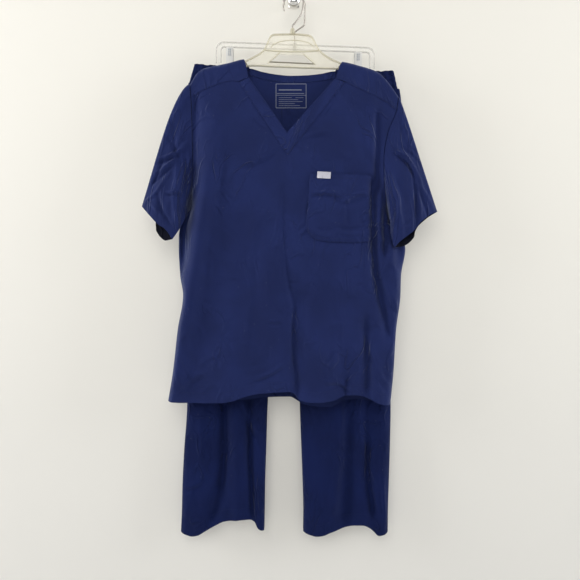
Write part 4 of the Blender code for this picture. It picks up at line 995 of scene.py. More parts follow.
def sleeve_grid(side, rings):
    name = "left" if side < 0 else "right"
    sleeve = SLEEVES[name]
    start, face, share = armhole_loop(side)
    (x0, z0), (x1, z1) = sleeve["outer"], sleeve["inner"]
    length = np.hypot(x1 - x0, z1 - z0)
    bow = np.sin(np.pi * np.clip(share, 0, 1))
    drop = np.where(face > 0, CUFFS[name].read("back", share), CUFFS[name].read("front", share))
    cuff = np.stack([
        mix(x0, x1, share) + side * drop * abs(z1 - z0) / length,
        mix(*sleeve["depth"], share) + face * sleeve["half"] * bow ** 0.85,
        mix(z0, z1, share) - drop * abs(x1 - x0) / length,
    ], axis=1)
    start = start + np.array([side * SEAM_CLEAR, 0, 0])
    t = (np.linspace(0, 1, rings + 1) ** RING_SPREAD)[:, None]
    hump = np.sin(np.pi * t)
    grid = mix(start[None], cuff[None], t[..., None])
    lower = np.maximum(0, 2 * share - 1)
    early_hump = np.sin(np.pi * np.sqrt(t))
    grid[..., 0] += side * (sleeve["swell"] * early_hump * (1 - share) + INNER_EDGE_SWING * hump * lower)
    grid[..., 1] += face * SLEEVE_SWELL * hump * bow - INNER_EDGE_FORWARD * early_hump * lower
    seam_fade = ease(0.0, 0.12, t) * np.sqrt(np.clip(bow, 0, 1))
    x, z = grid[..., 0], grid[..., 2]
    lift = CREASE_DEEP * folds(SLEEVE_CREASES[name], x, z, CREASE_TAPER)
    small = small_creases(21 if side < 0 else 22, 26, (x.min(), z.min()), (x.max(), z.max()), 60, 40)
    lift = lift + folds(small, x, z, SMALL_TAPER)
    cuff_up = (1 - t) * np.linalg.norm(cuff - start, axis=1)[None]
    lift = lift + 0.5 * hem_step(CUFF_HEM, cuff_up)
    lift = lift + 0.3 * uneven(share * 90, 3.0)[None] * np.exp(-np.abs(cuff_up - CUFF_HEM) / 8.0)
    grid[..., 1] += face * lift * seam_fade
    return grid


# The inner faces of the sleeves take a far darker navy without sheen: painted shade inside the sleeves, seen
# where the cuffs stand open. The missing sheen stands for the duller wrong side of the twill.
sleeve_inside_painted_shade = cloth_material("navy_twill_wrong_side_painted_shade", (0.0008, 0.0014, 0.0080), sheen=0.0, lint=0.0)
for side, name in ((-1, "left"), (1, "right")):
    grid = sleeve_grid(side, 140)
    way = -1 if side < 0 else 1
    piece = cloth_shell(f"sleeve_{name}_set_in", grid, way, navy_twill, loop=True, inside=sleeve_inside_painted_shade)
    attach(piece, "root")
    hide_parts(f"sleeve_{name}")
    line = seam_line(grid, way, CUFF_HEM - HEM_STITCH, "bottom", loop=True)
    sewing = sew(f"sleeve_{name}_stitching", [line], navy_thread)


# ---------------------------------------------------------------- top: neck band and back binding
# A folded band of the same twill round the V, mitred at its point and sewn down along its outer
# edge, and a narrow strip that covers the seam inside the back of the neck.

BAND_ROWS = 14
BAND_WIDE, BAND_LONG = 25.0, 195.0  # and how long each half is
BAND_LIFT = 1.4  # the band is double cloth, so it stands a little above the front
BAND_START = 0.016  # its ends stop just short of the yoke, as a share of half its length


def band_grid(columns, rows):
    share, j = np.meshgrid(np.linspace(BAND_START, 2 - BAND_START, columns), np.linspace(0, 1, rows))
    to_tip = np.where(share < 1, share, 2 - share)
    on_left = share < 1

    def along(ends, axis):
        return mix(np.where(on_left, ends["left"][axis], ends["right"][axis]), ends["tip"][axis], to_tip)

    x = mix(along(BAND_INNER, 0), along(BAND_OUTER, 0), j)
    z = mix(along(BAND_INNER, 1), along(BAND_OUTER, 1), j)
    from_edge = (1 - j) * BAND_WIDE
    lift = BAND_LIFT * rounding(j * BAND_WIDE, 1.6) * rounding(from_edge + 0.9, 2.0)
    lift += 0.25 * uneven(to_tip * 55 + on_left * 9, 2.0) * np.exp(-(from_edge / 7.0))
    mitre = -0.5 * np.exp(-(((1 - to_tip) * BAND_LONG / 1.6) ** 2))
    return np.stack([x, front_y(x, z) - lift - mitre, z], axis=2)


band = band_grid(161, BAND_ROWS)
neck_band = cloth_shell("neck_band_folded", band, -1, navy_twill, thick=1.6)
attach(neck_band, "root")
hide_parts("neck_band")
band_sewing = sew("neck_band_stitching", [
    seam_line(band, -1, FIRST_ROW, "bottom"), seam_line(band, -1, 3.0, "top"),
], navy_thread)

binding_columns = np.linspace(NECK_FIRST, NECK_LAST, 101)
binding = back_grid(binding_columns, np.linspace(0, 0.22, 9))
binding[..., 1] -= CLOTH + 0.2
binding[..., 1] -= 0.2 * uneven(binding[..., 0] / 2.7, 6.0)
back_binding = cloth_shell("back_neck_binding_strip", binding, -1, navy_twill)
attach(back_binding, "root")
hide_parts("back_neck_binding")
binding_sewing = sew("binding_stitching", [
    seam_line(binding, -1, 1.6, "bottom"), seam_line(binding, -1, 1.6, "top"),
], navy_thread)


# ---------------------------------------------------------------- top: print inside the back of the neck
# A plain frame with rules, printed in pale ink on the inner face of the back where the size and
# care notes go. It is left without words.

PRINT = {"left": -40.0, "right": 28.0, "top": -228.0, "bottom": -282.0}
PRINT_LINE = 1.3
INK = 0.15  # how far the ink stands off the cloth
RULE_COLUMNS, RULE_ROWS = 25, 13
PRINT_RULES = (
    # x0    x1     z    width
    (PRINT["left"], PRINT["right"], PRINT["top"], PRINT_LINE),
    (PRINT["left"], PRINT["right"], PRINT["bottom"], PRINT_LINE),
    (-34.0, 18.0, -241.5, 2.2),
    (-38.0, 24.0, -249.5, 1.1),
    (-40.0, 28.0, -253.5, 0.9),
    (-34.0, -4.0, -259.0, 0.8),
    (4.0, 22.0, -259.0, 0.8),
    (-34.0, 10.0, -263.5, 0.8),
    (-34.0, 20.0, -268.0, 0.8),
    (-34.0, 2.0, -272.5, 0.8),
    (-34.0, 14.0, -277.0, 0.8),
)


def printed_rule(x0, x1, z0, z1):
    """A flat strip of ink between two corners, lying on the inner face of the back."""
    x, z = np.meshgrid(np.linspace(x0, x1, RULE_COLUMNS), np.linspace(z1, z0, RULE_ROWS))
    y = back_y(x, z, np.full_like(x, 200.0)) - CLOTH / 2 - INK
    return np.stack([x, y, z], axis=2)


def plain_material(name, colour, roughness):
    made, to, shader = new_material(name)
    to.give(shader, {"Base Color": (*colour, 1), "Roughness": roughness})
    return made


ink = plain_material("pale_ink", (0.17, 0.19, 0.27), 0.7)
strips = [printed_rule(x0, x1, z - width / 2, z + width / 2) for x0, x1, z, width in PRINT_RULES]
for x in (PRINT["left"], PRINT["right"]):
    strips.append(printed_rule(x - PRINT_LINE / 2, x + PRINT_LINE / 2, PRINT["bottom"], PRINT["top"]))
r, c = np.mgrid[0:RULE_ROWS - 1, 0:RULE_COLUMNS - 1]
first = (r * RULE_COLUMNS + c).reshape(-1, 1)
cells = first + (0, RULE_COLUMNS, RULE_COLUMNS + 1, 1)
neck_print = object_of(
    "neck_print", np.concatenate([strip.reshape(-1, 3) for strip in strips]),
    np.concatenate([cells + RULE_ROWS * RULE_COLUMNS * k for k in range(len(strips))]), ink,
)
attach(neck_print, "root")


# ---------------------------------------------------------------- top: chest pocket and its label
# A patch pocket on the wearer's left, with rounded corners, a deep stitched hem and a slightly
# slack mouth. A small woven label, left bare, is sewn over its top hem.

POCKET_SIDES = Table(
    "z      left   right",
    (-440, 36.0, 170.5),
    (-498, 32.5, 172.0),
    (-545, 28.0, 173.5),
    (-590, 34.0, 174.0),
)
POCKET_BOTTOM = Table(
    "share  z",
    (0.00, -564),
    (0.05, -578),
    (0.14, -585),
    (0.35, -589),
    (0.65, -590),
    (0.92, -588),
    (0.97, -582),
    (1.00, -570),
)
POCKET_TOP = (-438.0, -442.0)
POCKET_WIDE, POCKET_LONG = 136.0, 150.0
POCKET_HEM = 46.0
POCKET_MOUTH = 3.0
POCKET_CREASES = (
    # x0   z0    x1    z1  half height bend lean
    (34, -481, 98, -481, 4.2, 3.4, -2, 0.3),
    (36, -491, 98, -493, 4.2, -4.2, -4, 0.2),
    (94, -484, 118, -498, 3.4, 3.6, -2, 0),
    (92, -495, 116, -509, 4.2, -3.8, -2, 0),
    (112, -499, 160, -479, 3.4, 3.6, -4, 0),
    (114, -509, 164, -490, 4.2, -3.8, -4, 0),
    (44, -566, 62, -574, 4.2, 2.6, 2, 0),
    (60, -574, 88, -570, 4.2, 2.6, 3, 0),
    (50, -560, 88, -560, 4.2, -2.2, 3, 0),
    (98, -566, 152, -566, 5.1, 2.8, 5, 0),
    (96, -556, 150, -556, 5.1, -2.4, 5, 0),
    (148, -528, 168, -512, 3.4, 2.4, 2, 0),
    (150, -546, 170, -534, 3.4, -2.2, 2, 0),
    (152, -560, 170, -548, 3.4, 2.2, 2, 0),
    (112, -512, 110, -550, 4.2, 2.2, 2, 0.2),
    (119, -512, 118, -548, 4.2, -2.0, 2, 0),
    (70, -466, 116, -474, 5.1, -1.4, -3, 0),
    (60, -532, 100, -546, 7.6, 2.0, 4, 0),
)


def pocket_place(share, down):
    z = mix(mix(*POCKET_TOP, share), POCKET_BOTTOM.read("z", share), down)
    return mix(POCKET_SIDES.read("left", z), POCKET_SIDES.read("right", z), share), z


def pocket_lift(x, z, share, down):
    """How far the pocket's middle stands in front of the panel's."""
    edge = np.minimum(np.minimum(share, 1 - share) * POCKET_WIDE, (1 - down) * POCKET_LONG)
    slack = POCKET_MOUTH * np.sin(np.pi * share) * (1 - down) ** 2
    below_top = mix(*POCKET_TOP, share) - z
    hem = 0.6 * hem_step(POCKET_HEM, below_top)
    pucker = 0.3 * uneven((x + z) / 3.2, 2.5) * np.exp(-edge / 6.0)
    own = folds(POCKET_CREASES, x, z, CREASE_TAPER) * ease(0.0, 14.0, edge)
    stand = 0.9 + 2.4 * rounding(edge, 12.0)
    return CLOTH + stand + slack + hem + pucker + np.maximum(own, -0.85 * stand)


share, down = np.meshgrid(np.sin(np.pi * (np.linspace(0, 1, 73) - 0.5)) / 2 + 0.5, np.linspace(0, 1, 81))
pocket_x, pocket_z = pocket_place(share, down)
pocket = np.stack([
    pocket_x, front_y(pocket_x, pocket_z) - pocket_lift(pocket_x, pocket_z, share, down), pocket_z,
], axis=2)
chest_pocket = cloth_shell("chest_pocket_patch", pocket, -1, navy_twill)
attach(chest_pocket, "root")
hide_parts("chest_pocket")
pocket_lines = [
    seam_line(pocket, -1, row, edge)
    for edge in ("left", "right", "bottom") for row in (FIRST_ROW, SECOND_ROW)
]
pocket_lines += [seam_line(pocket, -1, row, "top") for row in (9.0, POCKET_HEM - HEM_STITCH)]
pocket_sewing = sew("pocket_stitching", pocket_lines, navy_thread)

LABEL = {"centre": (66.0, -442.0), "size": (29.5, 14.5), "turn": np.radians(-4.0)}
label_wide, label_tall = LABEL["size"]
across, up = np.meshgrid(np.linspace(-0.5, 0.5, 31) * label_wide, np.linspace(0.5, -0.5, 17) * label_tall)
label_x = LABEL["centre"][0] + across * np.cos(LABEL["turn"]) - up * np.sin(LABEL["turn"])
label_z = LABEL["centre"][1] + across * np.sin(LABEL["turn"]) + up * np.cos(LABEL["turn"])
mouth_left, mouth_right, mouth_z = 36.0, 170.5, -440.0
label_share = (label_x - mouth_left) / (mouth_right - mouth_left)
label_down = np.clip((mouth_z - label_z) / POCKET_LONG, 0, 1)
label_lift = pocket_lift(label_x, label_z, label_share, label_down) + CLOTH + 0.4
curl = 0.25 * np.abs(across / label_wide * 2) ** 4
label_grid = np.stack([label_x, front_y(label_x, label_z) - label_lift - curl, label_z], axis=2)
woven_grey = cloth_material(
    "woven_grey_label", (0.54, 0.53, 0.60), pitch=0.0005, crumple=0.1, sheen=0.1, lint=0.0,
)
pocket_label = cloth_shell("pocket_label_woven", label_grid, -1, woven_grey, thick=0.8)
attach(pocket_label, "root")
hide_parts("pocket_label")


# ---------------------------------------------------------------- trousers: four leg panels
# Straight legs of the same twill, each a front and a back panel joined at the side seam and the
# inseam, laid flat with soft vertical folds and a 28 mm turned-up hem.

TROUSER_Y = -27.0
CROTCH_Z = -455.0
FORK_ROLL = 55.0
INSEAM_ROOM = 1.2
LEG_ROUND = 14.0
LEG_TOP_Z, LEG_HEM_Z = -212.0, -1248.0
WAIST_DEEP = 42.0
WAIST_TOP = Table(
    "x     z",
    (-241, -174.0),
    (-229, -174.0),
    (-175, -177.5),
    (-147, -180.0),
    (-100, -190.5),
    (-50, -200.0),
    (-8, -205.0),
    (40, -204.0),
    (100, -196.0),
    (148, -190.0),
    (180, -190.5),
    (241, -188.5),
)
LEG_HEM = 28.0
LEGS = {
    "left": Table(
        "z       outer   inner",
        (-205, -240.5, -8.0),
        (-255, -249.0, -8.0),
        (-340, -256.0, -8.0),
        (-455, -256.0, -8.0),
        (-480, -255.0, -11.0),
        (-560, -250.0, -22.0),
        (-703, -246.0, -37.0),
        (-850, -244.0, -50.0),
        (-965, -245.5, -59.5),
        (-1061, -252.0, -62.5),
        (-1142, -256.0, -65.0),
        (-1206, -257.5, -66.0),
        (-1260, -260.0, -67.0),
    ),
    "right": Table(
        "z       outer   inner",
        (-205, 240.0, -8.0),
        (-266, 248.0, -8.0),
        (-340, 248.0, -8.0),
        (-455, 243.0, -8.0),
        (-480, 241.0, -5.0),
        (-560, 233.0, 1.0),
        (-640, 226.0, 4.5),
        (-793, 222.0, 9.5),
        (-965, 223.5, 13.5),
        (-1061, 221.5, 17.0),
        (-1142, 219.0, 20.0),
        (-1206, 217.0, 21.5),
        (-1260, 216.5, 20.5),
    ),
}
LEG_HEMS = {
    "left": Table(
        "x      z",
        (-261, -1248),
        (-247, -1252),
        (-231, -1256),
        (-218, -1254),
        (-204, -1246),
        (-190, -1238),
        (-175, -1230),
        (-160, -1223),
        (-123, -1218),
        (-100, -1219),
        (-89, -1223),
        (-82, -1237),
        (-75, -1243),
        (-66, -1246),
    ),
    "right": Table(
        "x      z",
        (20, -1247),
        (35, -1252),
        (52, -1256),
        (68, -1254),
        (82, -1248),
        (116, -1238),
        (141, -1232),
        (157, -1232),
        (175, -1239),
        (184, -1247),
        (194, -1255),
        (207, -1252),
        (218, -1248),
    ),
}
LEG_DEPTH = Table(
    "z      front  back",
    (-205, -34, -20),
    (-320, -37, -16),
    (-900, -39, -15),
    (-1250, -42, -14),
)
LEG_FOLDS = (
    # x0     z0     x1     z1   half  height
    (-160, -920, -158, -1050, 11, -15),
    (-158, -1050, -166, -1165, 11, -16),
    (-166, -1165, -190, -1222, 11, -12),
    (-134, -940, -128, -1245, 14, 8),
    (-104, -920, -96, -1210, 8, -11),
    (-216, -950, -228, -1245, 26, 5),
    (58, -920, 54, -1250, 34, 7),
    (108, -930, 104, -1060, 12, 7),
    (104, -1060, 90, -1200, 13, 7),
    (128, -920, 116, -1240, 16, -11),
    (166, -930, 171, -1050, 12, -8),
    (171, -1050, 168, -1114, 9, -12),
    (168, -1114, 183, -1211, 9, -12),
    (204, -960, 204, -1250, 13, 6),
)
LEG_CREASES = (
    # x0     z0     x1     z1  half height bend lean
    (-122, -964, -82, -1044, 4, -4.2, 4, -0.3),
    (-112, -958, -74, -1030, 4.8, 3.6, 4, 0),
    (-124, -965, -100, -1002, 4, 3.0, 3, 0),
    (-98, -1010, -100, -1108, 4.8, -4.0, 4, 0.3),
    (-100, -1105, -93, -1186, 4.8, -3.6, -3, 0.3),
    (-112, -1010, -112, -1140, 5.6, 3.0, 4, 0),
    (-172, -1130, -196, -1214, 6.4, -3.8, 5, 0),
    (-150, -1130, -172, -1190, 4.8, 2.8, 3, 0),
    (-246, -1142, -214, -1130, 4, 2.8, 3, 0),
    (-246, -1152, -214, -1141, 4, -2.2, 3, 0),
    (-142, -1000, -140, -1120, 6.4, -2.6, 3, 0),
    (-210, -960, -206, -1100, 8, 2.6, 5, 0),
    (-190, -980, -184, -1080, 6.4, -2.4, 5, 0),
    (170, -1050, 178, -1130, 4, -3.8, 3, 0.3),
    (176, -1120, 186, -1190, 4, -3.6, 2, -0.2),
    (158, -1000, 164, -1090, 5.6, 3.0, 3, 0),
    (196, -1030, 202, -1160, 4.8, 3.0, -2, 0),
    (205, -1130, 210, -1210, 3.2, 2.8, 2, 0),
    (198, -1140, 204, -1215, 3.2, -2.4, 2, 0),
    (100, -1090, 88, -1240, 9.6, 3.0, 5, 0),
    (40, -1000, 48, -1160, 10.4, -2.6, 5, 0),
    (70, -960, 84, -1060, 7.2, 2.4, 4, 0),
    (60, -1120, 66, -1220, 6.4, -2.2, 4, 0),
)
LEG_SMALL = small_creases(31, 110, (-250, -1240), (215, -930), 82, 28)
LEG_SMALL += small_creases(32, 60, (-250, -930), (230, -260), 80, 35)


def leg_grid(side, face, columns, hip_rows, leg_rows):
    """A leg panel from its outer edge to its inner one, and from the waistband to the hem."""
    table, hem = LEGS[side], LEG_HEMS[side]
    way = 1 if side == "left" else -1
    down, across = np.meshgrid(np.arange(hip_rows + leg_rows + 1), np.arange(columns + 1), indexing="ij")
    across = 0.5 - 0.5 * np.cos(np.pi * across / columns)
    top_x = mix(table.read("outer", LEG_TOP_Z), table.read("inner", LEG_TOP_Z), across)
    top = WAIST_TOP.read("z", top_x) - WAIST_DEEP - SEAM_GAP
    hem_x = mix(table.read("outer", LEG_HEM_Z), table.read("inner", LEG_HEM_Z), across)
    upper = mix(top, CROTCH_Z, down / hip_rows)
    z = np.where(down <= hip_rows, upper, mix(CROTCH_Z, hem.read("z", hem_x), (down - hip_rows) / leg_rows))
    room = SEAM_GAP / 2 + INSEAM_ROOM * ease(CROTCH_Z + FORK_ROLL, CROTCH_Z, z)
    outer, inner = table.read("outer", z), table.read("inner", z)
    x = mix(outer, inner, across) - way * across * room
    full = LEG_DEPTH.read("front" if face < 0 else "back", z)
    hem_up = z - hem.read("z", x)
    relief = 0.35 * hem_pucker(x / 3.2, 7.0, LEG_HEM, hem_up)
    relief += 0.6 * hem_step(LEG_HEM, hem_up)
    gathers = 1.6 * uneven(x / 3.3, 3.0) * np.exp(-(top - z) / 42.0)
    if face < 0:
        relief += folds(LEG_FOLDS, x, z) + folds(LEG_CREASES, x, z, CREASE_TAPER)
    else:
        behind = [(x0 + 14, *rest) for x0, *rest in LEG_CREASES]
        relief += 0.7 * folds(behind, x, z, CREASE_TAPER)
    relief += folds(LEG_SMALL, x, z, SMALL_TAPER) + gathers
    full = full + face * relief
    opened = ease(CROTCH_Z, CROTCH_Z + FORK_ROLL, z)
    at_inseam = opened + (1 - opened) * rounding(np.abs(inner - x), LEG_ROUND)
    roll = at_inseam * rounding(np.abs(x - outer), LEG_ROUND)
    y = TROUSER_Y + face * SEAM_GAP / 2 + (full - TROUSER_Y) * roll
    return np.stack([x, y, z], axis=2)


# The trousers and waistband take a darker copy of the navy, with less sheen.
trouser_twill = cloth_material("trouser_twill", (0.0048, 0.0108, 0.062), sheen=0.10)
LEG_MESH = {"front": (80, 34, 184), "back": (52, 24, 120)}  # columns, rows on the hips, rows below
SIDE_STITCHES = (9.0, 15.0)
for side in LEGS:
    for part, face in (("front", -1), ("back", 1)):
        grid = leg_grid(side, face, *LEG_MESH[part])
        way = face if side == "left" else -face
        middle = (0, LEG_MESH[part][0] // 2)
        piece = cloth_shell(f"leg_{side}_{part}", grid, way, trouser_twill, anchor=middle)
        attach(piece, "root")
        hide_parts(f"trouser_{part}_{side}")
        lines = [seam_line(grid, way, LEG_HEM - HEM_STITCH, "bottom")]
        if face < 0:
            lines += [seam_line(grid, way, distance, "left") for distance in SIDE_STITCHES]
        sewing = sew(f"leg_{side}_{part}_stitching", lines, navy_thread)


# ---------------------------------------------------------------- trousers: waistband
# Twill gathered onto wide elastic, as a flat loop. Three rows of stitches hold the elastic, and
# the cloth ruffles between them and at the upper edge.

WAIST_ENDS = ((-229, -241), (231, 240))  # x of its left and right end, at its top and its bottom
WAIST_ROUND = 5.0
WAIST_GATHERS = 60
WAIST_ROWS = 22


def waist_grid(columns, rows):
    down, i = np.meshgrid(np.linspace(0, 1, rows + 1), np.arange(columns), indexing="ij")
    left, right = (mix(top, bottom, down) for top, bottom in WAIST_ENDS)
    straight = right - left - 2 * WAIST_ROUND
    around = 2 * straight + 2 * np.pi * WAIST_ROUND
    went = i / columns * around
    phase = 2 * np.pi * WAIST_GATHERS * i / columns
    channel = np.abs(np.sin(np.pi * 3 * down))
    wander = 0.9 * uneven(i / columns * 40 * np.pi, 1.0)
    ruffle = 0.85 * channel * (0.75 + 0.25 * uneven(i / columns * 90, 3.0))
    height = 0.35 + ruffle + 0.9 * ease(0.10, 0.0, down)
    bump = WAIST_ROUND + height * np.cos(phase + wander + 0.5 * uneven(down * 9, 2.0))
    half_turn = np.pi * WAIST_ROUND
    angle_right = np.clip((went - straight) / WAIST_ROUND, 0, np.pi)
    angle_left = np.clip((went - 2 * straight - half_turn) / WAIST_ROUND, 0, np.pi)
    back_run = straight + half_turn
    x = np.select(
        [went < straight, went < back_run, went < back_run + straight],
        [left + WAIST_ROUND + went, right - WAIST_ROUND + bump * np.sin(angle_right),
         right - WAIST_ROUND - (went - back_run)],
        left + WAIST_ROUND - bump * np.sin(angle_left),
    )
    y = np.select(
        [went < straight, went < back_run, went < back_run + straight],
        [-bump, -bump * np.cos(angle_right), bump],
        bump * np.cos(angle_left),
    )
    z = WAIST_TOP.read("z", x) - WAIST_DEEP * down
    z = z + 0.7 * np.sin(phase * 0.5 + wander) * ease(0.12, 0.0, down)
    return np.stack([x, TROUSER_Y + y, z], axis=2)


waist = waist_grid(14 * WAIST_GATHERS, WAIST_ROWS)
waistband = cloth_shell("waistband_gathered", waist, -1, trouser_twill, loop=True)
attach(waistband, "root")
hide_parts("waistband")
waist_sewing = sew("waistband_stitching", [
    seam_line(waist, -1, WAIST_DEEP * share, "top", loop=True) for share in (1 / 3, 2 / 3, 0.97)
], navy_thread)


# ---------------------------------------------------------------- top hanger
# A moulded plastic shirt hanger, yellowed with age: a thin web with raised rims, two struts and a
# collar in which the wire hook turns. Its arms lie inside the shoulders and carry the top.

TOP_HANGER_Y = -66.0
HANGER_WEB = 1.1
HANGER_RIM = 1.7
HANGER_BODY = Table(
    "x     top     bottom  half",
    (-213, -221.0, -227.0, 3.0),
    (-208, -213.0, -225.0, 4.4),
    (-197, -206.0, -221.0, 5.0),
    (-143, -191.5, -208.0, 5.0),
    (-113, -183.5, -197.0, 5.0),
    (-105, -179.0, -193.0, 4.5),
    (-92, -172.5, -192.0, 4.0),
    (-80, -166.0, -192.0, 3.5),
    (-67, -156.0, -192.5, 3.0),
    (-59, -140.0, -193.0, 2.6),
    (-52, -125.0, -193.5, 2.6),
    (-44, -121.0, -194.0, 2.6),
    (-3, -120.0, -195.5, 2.6),
    (32, -122.5, -197.0, 2.6),
    (41, -127.0, -197.0, 2.6),
    (49, -142.0, -197.5, 2.6),
    (59, -158.0, -197.5, 3.0),
    (72, -169.0, -198.0, 3.5),
    (86, -177.0, -198.5, 4.0),
    (104, -185.0, -199.0, 4.5),
    (112, -190.0, -203.0, 5.0),
    (148, -200.5, -217.0, 5.0),
    (180, -211.5, -228.0, 5.0),
    (196, -221.0, -236.0, 4.8),
    (204, -231.0, -238.0, 3.4),
)
HANGER_WINDOW = ((-37, -166), (22, -168), (44, -186), (-53, -182))


def strip_outline(path, width, shift=0.0):
    """The closed outline of a strip along a path of (x, z) points, moved sideways by a shift."""
    path = np.asarray(path, float)
    along = np.gradient(path, axis=0)
    aside = np.stack([-along[:, 1], along[:, 0]], axis=1)
    aside /= np.linalg.norm(aside, axis=1, keepdims=True)
    one = path + aside * (shift + width / 2)
    other = path + aside * (shift - width / 2)
    return np.concatenate([one, other[::-1]])


def bevelled(width):
    """Rounds off all the active piece's edges by a width in metres, and smooths it."""
    bpy.ops.object.mode_set(mode="EDIT")
    bpy.ops.mesh.select_all(action="SELECT")
    bpy.ops.mesh.bevel(offset=width, segments=2, affect="EDGES")
    bpy.ops.object.mode_set(mode="OBJECT")
    bpy.ops.object.shade_smooth_by_angle(angle=np.radians(40))


def meshed(made, finish):
    """Makes the active curve a mesh of one finish, welded and with its faces turned outwards."""
    bpy.ops.object.convert(target="MESH")
    made.data.materials.clear()
    made.data.materials.append(finish)
    bpy.ops.object.mode_set(mode="EDIT")
    bpy.ops.mesh.select_all(action="SELECT")
    bpy.ops.mesh.remove_doubles(threshold=0.00002)
    bpy.ops.mesh.normals_make_consistent(inside=False)
    bpy.ops.object.mode_set(mode="OBJECT")


def moulding(name, outlines, half, finish, soft=0.35):
    """A flat shape in x and z, about y = 0, given a half thickness and softened edges."""
    bpy.ops.curve.primitive_bezier_circle_add(radius=0.01)
    made = bpy.context.object
    made.name = name
    flat = made.data
    flat.splines.clear()
    for outline in outlines:
        spline = flat.splines.new("POLY")
        spline.points.add(len(outline) - 1)
        for point, (x, z) in zip(spline.points, outline):
            point.co = (x * MM, z * MM, 0, 1)
        spline.use_cyclic_u = True
    flat.dimensions = "2D"
    flat.fill_mode = "BOTH"
    flat.extrude = (half - soft) * MM
    flat.bevel_depth = soft * MM
    flat.bevel_resolution = 1
    flat.offset = -soft * MM
    meshed(made, finish)
    made.data.transform(Matrix.Rotation(np.pi / 2, 4, "X"))
    bpy.ops.object.shade_smooth_by_angle(angle=np.radians(40))
    return made


def joined(name, pieces, offset=(0, 0, 0)):
    """One piece of several, moved by an offset in millimetres, with its object at the origin."""
    bpy.ops.object.select_all(action="DESELECT")
    for piece in pieces:
        piece.select_set(True)
    bpy.context.view_layer.objects.active = pieces[0]
    if len(pieces) > 1:
        bpy.ops.object.join()
    bpy.ops.object.transform_apply(location=True, rotation=True, scale=True)
    whole = bpy.context.object
    whole.name = whole.data.name = name
    whole.data.transform(Matrix.Translation(Vector(offset) * MM))
    bpy.ops.object.select_all(action="DESELECT")
    return whole


def clouded_group():
    """The unevenness of moulded plastic: a mottle of its colour, and fine flow marks."""
    inputs = (
        ("Vector", "NodeSocketVector", None),
        ("Size", "NodeSocketFloat", 60.0),
        ("Amount", "NodeSocketFloat", 0.15),
    )
    group = node_group("clouded", inputs, (("Mottle", "NodeSocketFloat"), ("Marks", "NodeSocketFloat")))
    to = Wiring(group)
    given = to.node("NodeGroupInput")
    broad = to.noise(given.outputs["Vector"], given.outputs["Size"])
    drawn = to.node("ShaderNodeMapping", {"Vector": given.outputs["Vector"], "Scale": (1.0, 1.0, 6.0)})
    flow = to.noise(drawn.outputs[0], 220.0, Detail=3.0)
    centred = to.math("SUBTRACT", broad, 0.5)
    mottle = to.math("MULTIPLY_ADD", centred, given.outputs["Amount"], 0.5)
    result = to.node("NodeGroupOutput")
    to.give(result, {"Mottle": mottle, "Marks": flow})
    return group


CLOUDED = clouded_group()


def plastic_material(name, pale, deep, roughness, alpha):
    made, to, shader = new_material(name)
    place = to.node("ShaderNodeTexCoord").outputs["Object"]
    given = {"Vector": place, "Size": 60.0, "Amount": 0.8}
    mottle, marks = to.node("ShaderNodeGroup", given, node_tree=CLOUDED).outputs
    bump = to.node("ShaderNodeBump", {"Height": marks, "Strength": 0.25, "Distance": 0.0002})
    to.give(shader, {
        "Base Color": to.blend(mottle, (*pale, 1), (*deep, 1)),
        "Roughness": to.remap(marks, 0.3, 0.7, roughness * 0.8, roughness * 1.3),
        "Normal": bump.outputs[0],
        "Alpha": alpha,
        "IOR": 1.5,
    })
    return made


yellowed_web = plastic_material("yellowed_plastic", (0.92, 0.88, 0.74), (0.86, 0.81, 0.64), 0.35, 0.24)
yellowed_rim = plastic_material("yellowed_plastic_rims", (0.82, 0.78, 0.61), (0.72, 0.67, 0.50), 0.3, 0.5)
slot_painted_shadow = plastic_material("hanger_slot_painted_shadow", (0.33, 0.30, 0.24), (0.26, 0.24, 0.20), 0.5, 0.85)

arm_x = np.linspace(-204, 197, 120)
upper_edge = np.stack([arm_x, HANGER_BODY.read("top", arm_x)], axis=1)
lower_edge = np.stack([arm_x, HANGER_BODY.read("bottom", arm_x)], axis=1)
body_outline = np.concatenate([upper_edge, lower_edge[::-1]])
web = moulding("hanger_web", [body_outline, HANGER_WINDOW], HANGER_WEB, yellowed_web)
arch_x = np.linspace(-51, 45, 25)
arch = np.stack([arch_x, -153.0 + 19.0 * np.sqrt(np.clip(1 - ((arch_x + 3) / 48.5) ** 2, 0, 1))], axis=1)
hanger_rims = (
    # path, width, half depth
    (upper_edge - (0, HANGER_RIM / 2), HANGER_RIM, 4.4),
    (lower_edge + (0, HANGER_RIM / 2), HANGER_RIM, 4.4),
    (((-64, -156.5), (-40, -158.5), (-4, -160.0), (30, -159.5), (56, -157.5)), 1.6, 3.2),
    (arch, 1.1, 1.9),
    (((-31, -161.0), (-42, -172.0), (-58, -186.0)), 1.5, 2.6),
    (((21, -164.5), (33, -175.0), (49, -189.0)), 1.5, 2.6),
)
rims = [
    moulding(f"hanger_rim_{k}", [strip_outline(path, width)], half, yellowed_rim)
    for k, (path, width, half) in enumerate(hanger_rims)
]
# A dark strip along the window's lower edge: a painted shadow under the rim there.
slot_line = strip_outline(((-54, -182.6), (-4, -184.8), (45, -187.2)), 1.3)
slot = moulding("hanger_slot", [slot_line], 2.8, slot_painted_shadow)
bpy.ops.mesh.primitive_cone_add(
    vertices=40, radius1=0.0062, radius2=0.0040, depth=0.013, location=(-0.0028, 0, -0.1145),
)
collar = bpy.context.object
collar.data.materials.append(yellowed_rim)
bevelled(0.0006)
shirt_hanger = joined("shirt_hanger", [web, *rims, slot, collar], (0, TOP_HANGER_Y, 0))
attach(shirt_hanger, "root")
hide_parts("top_hanger")
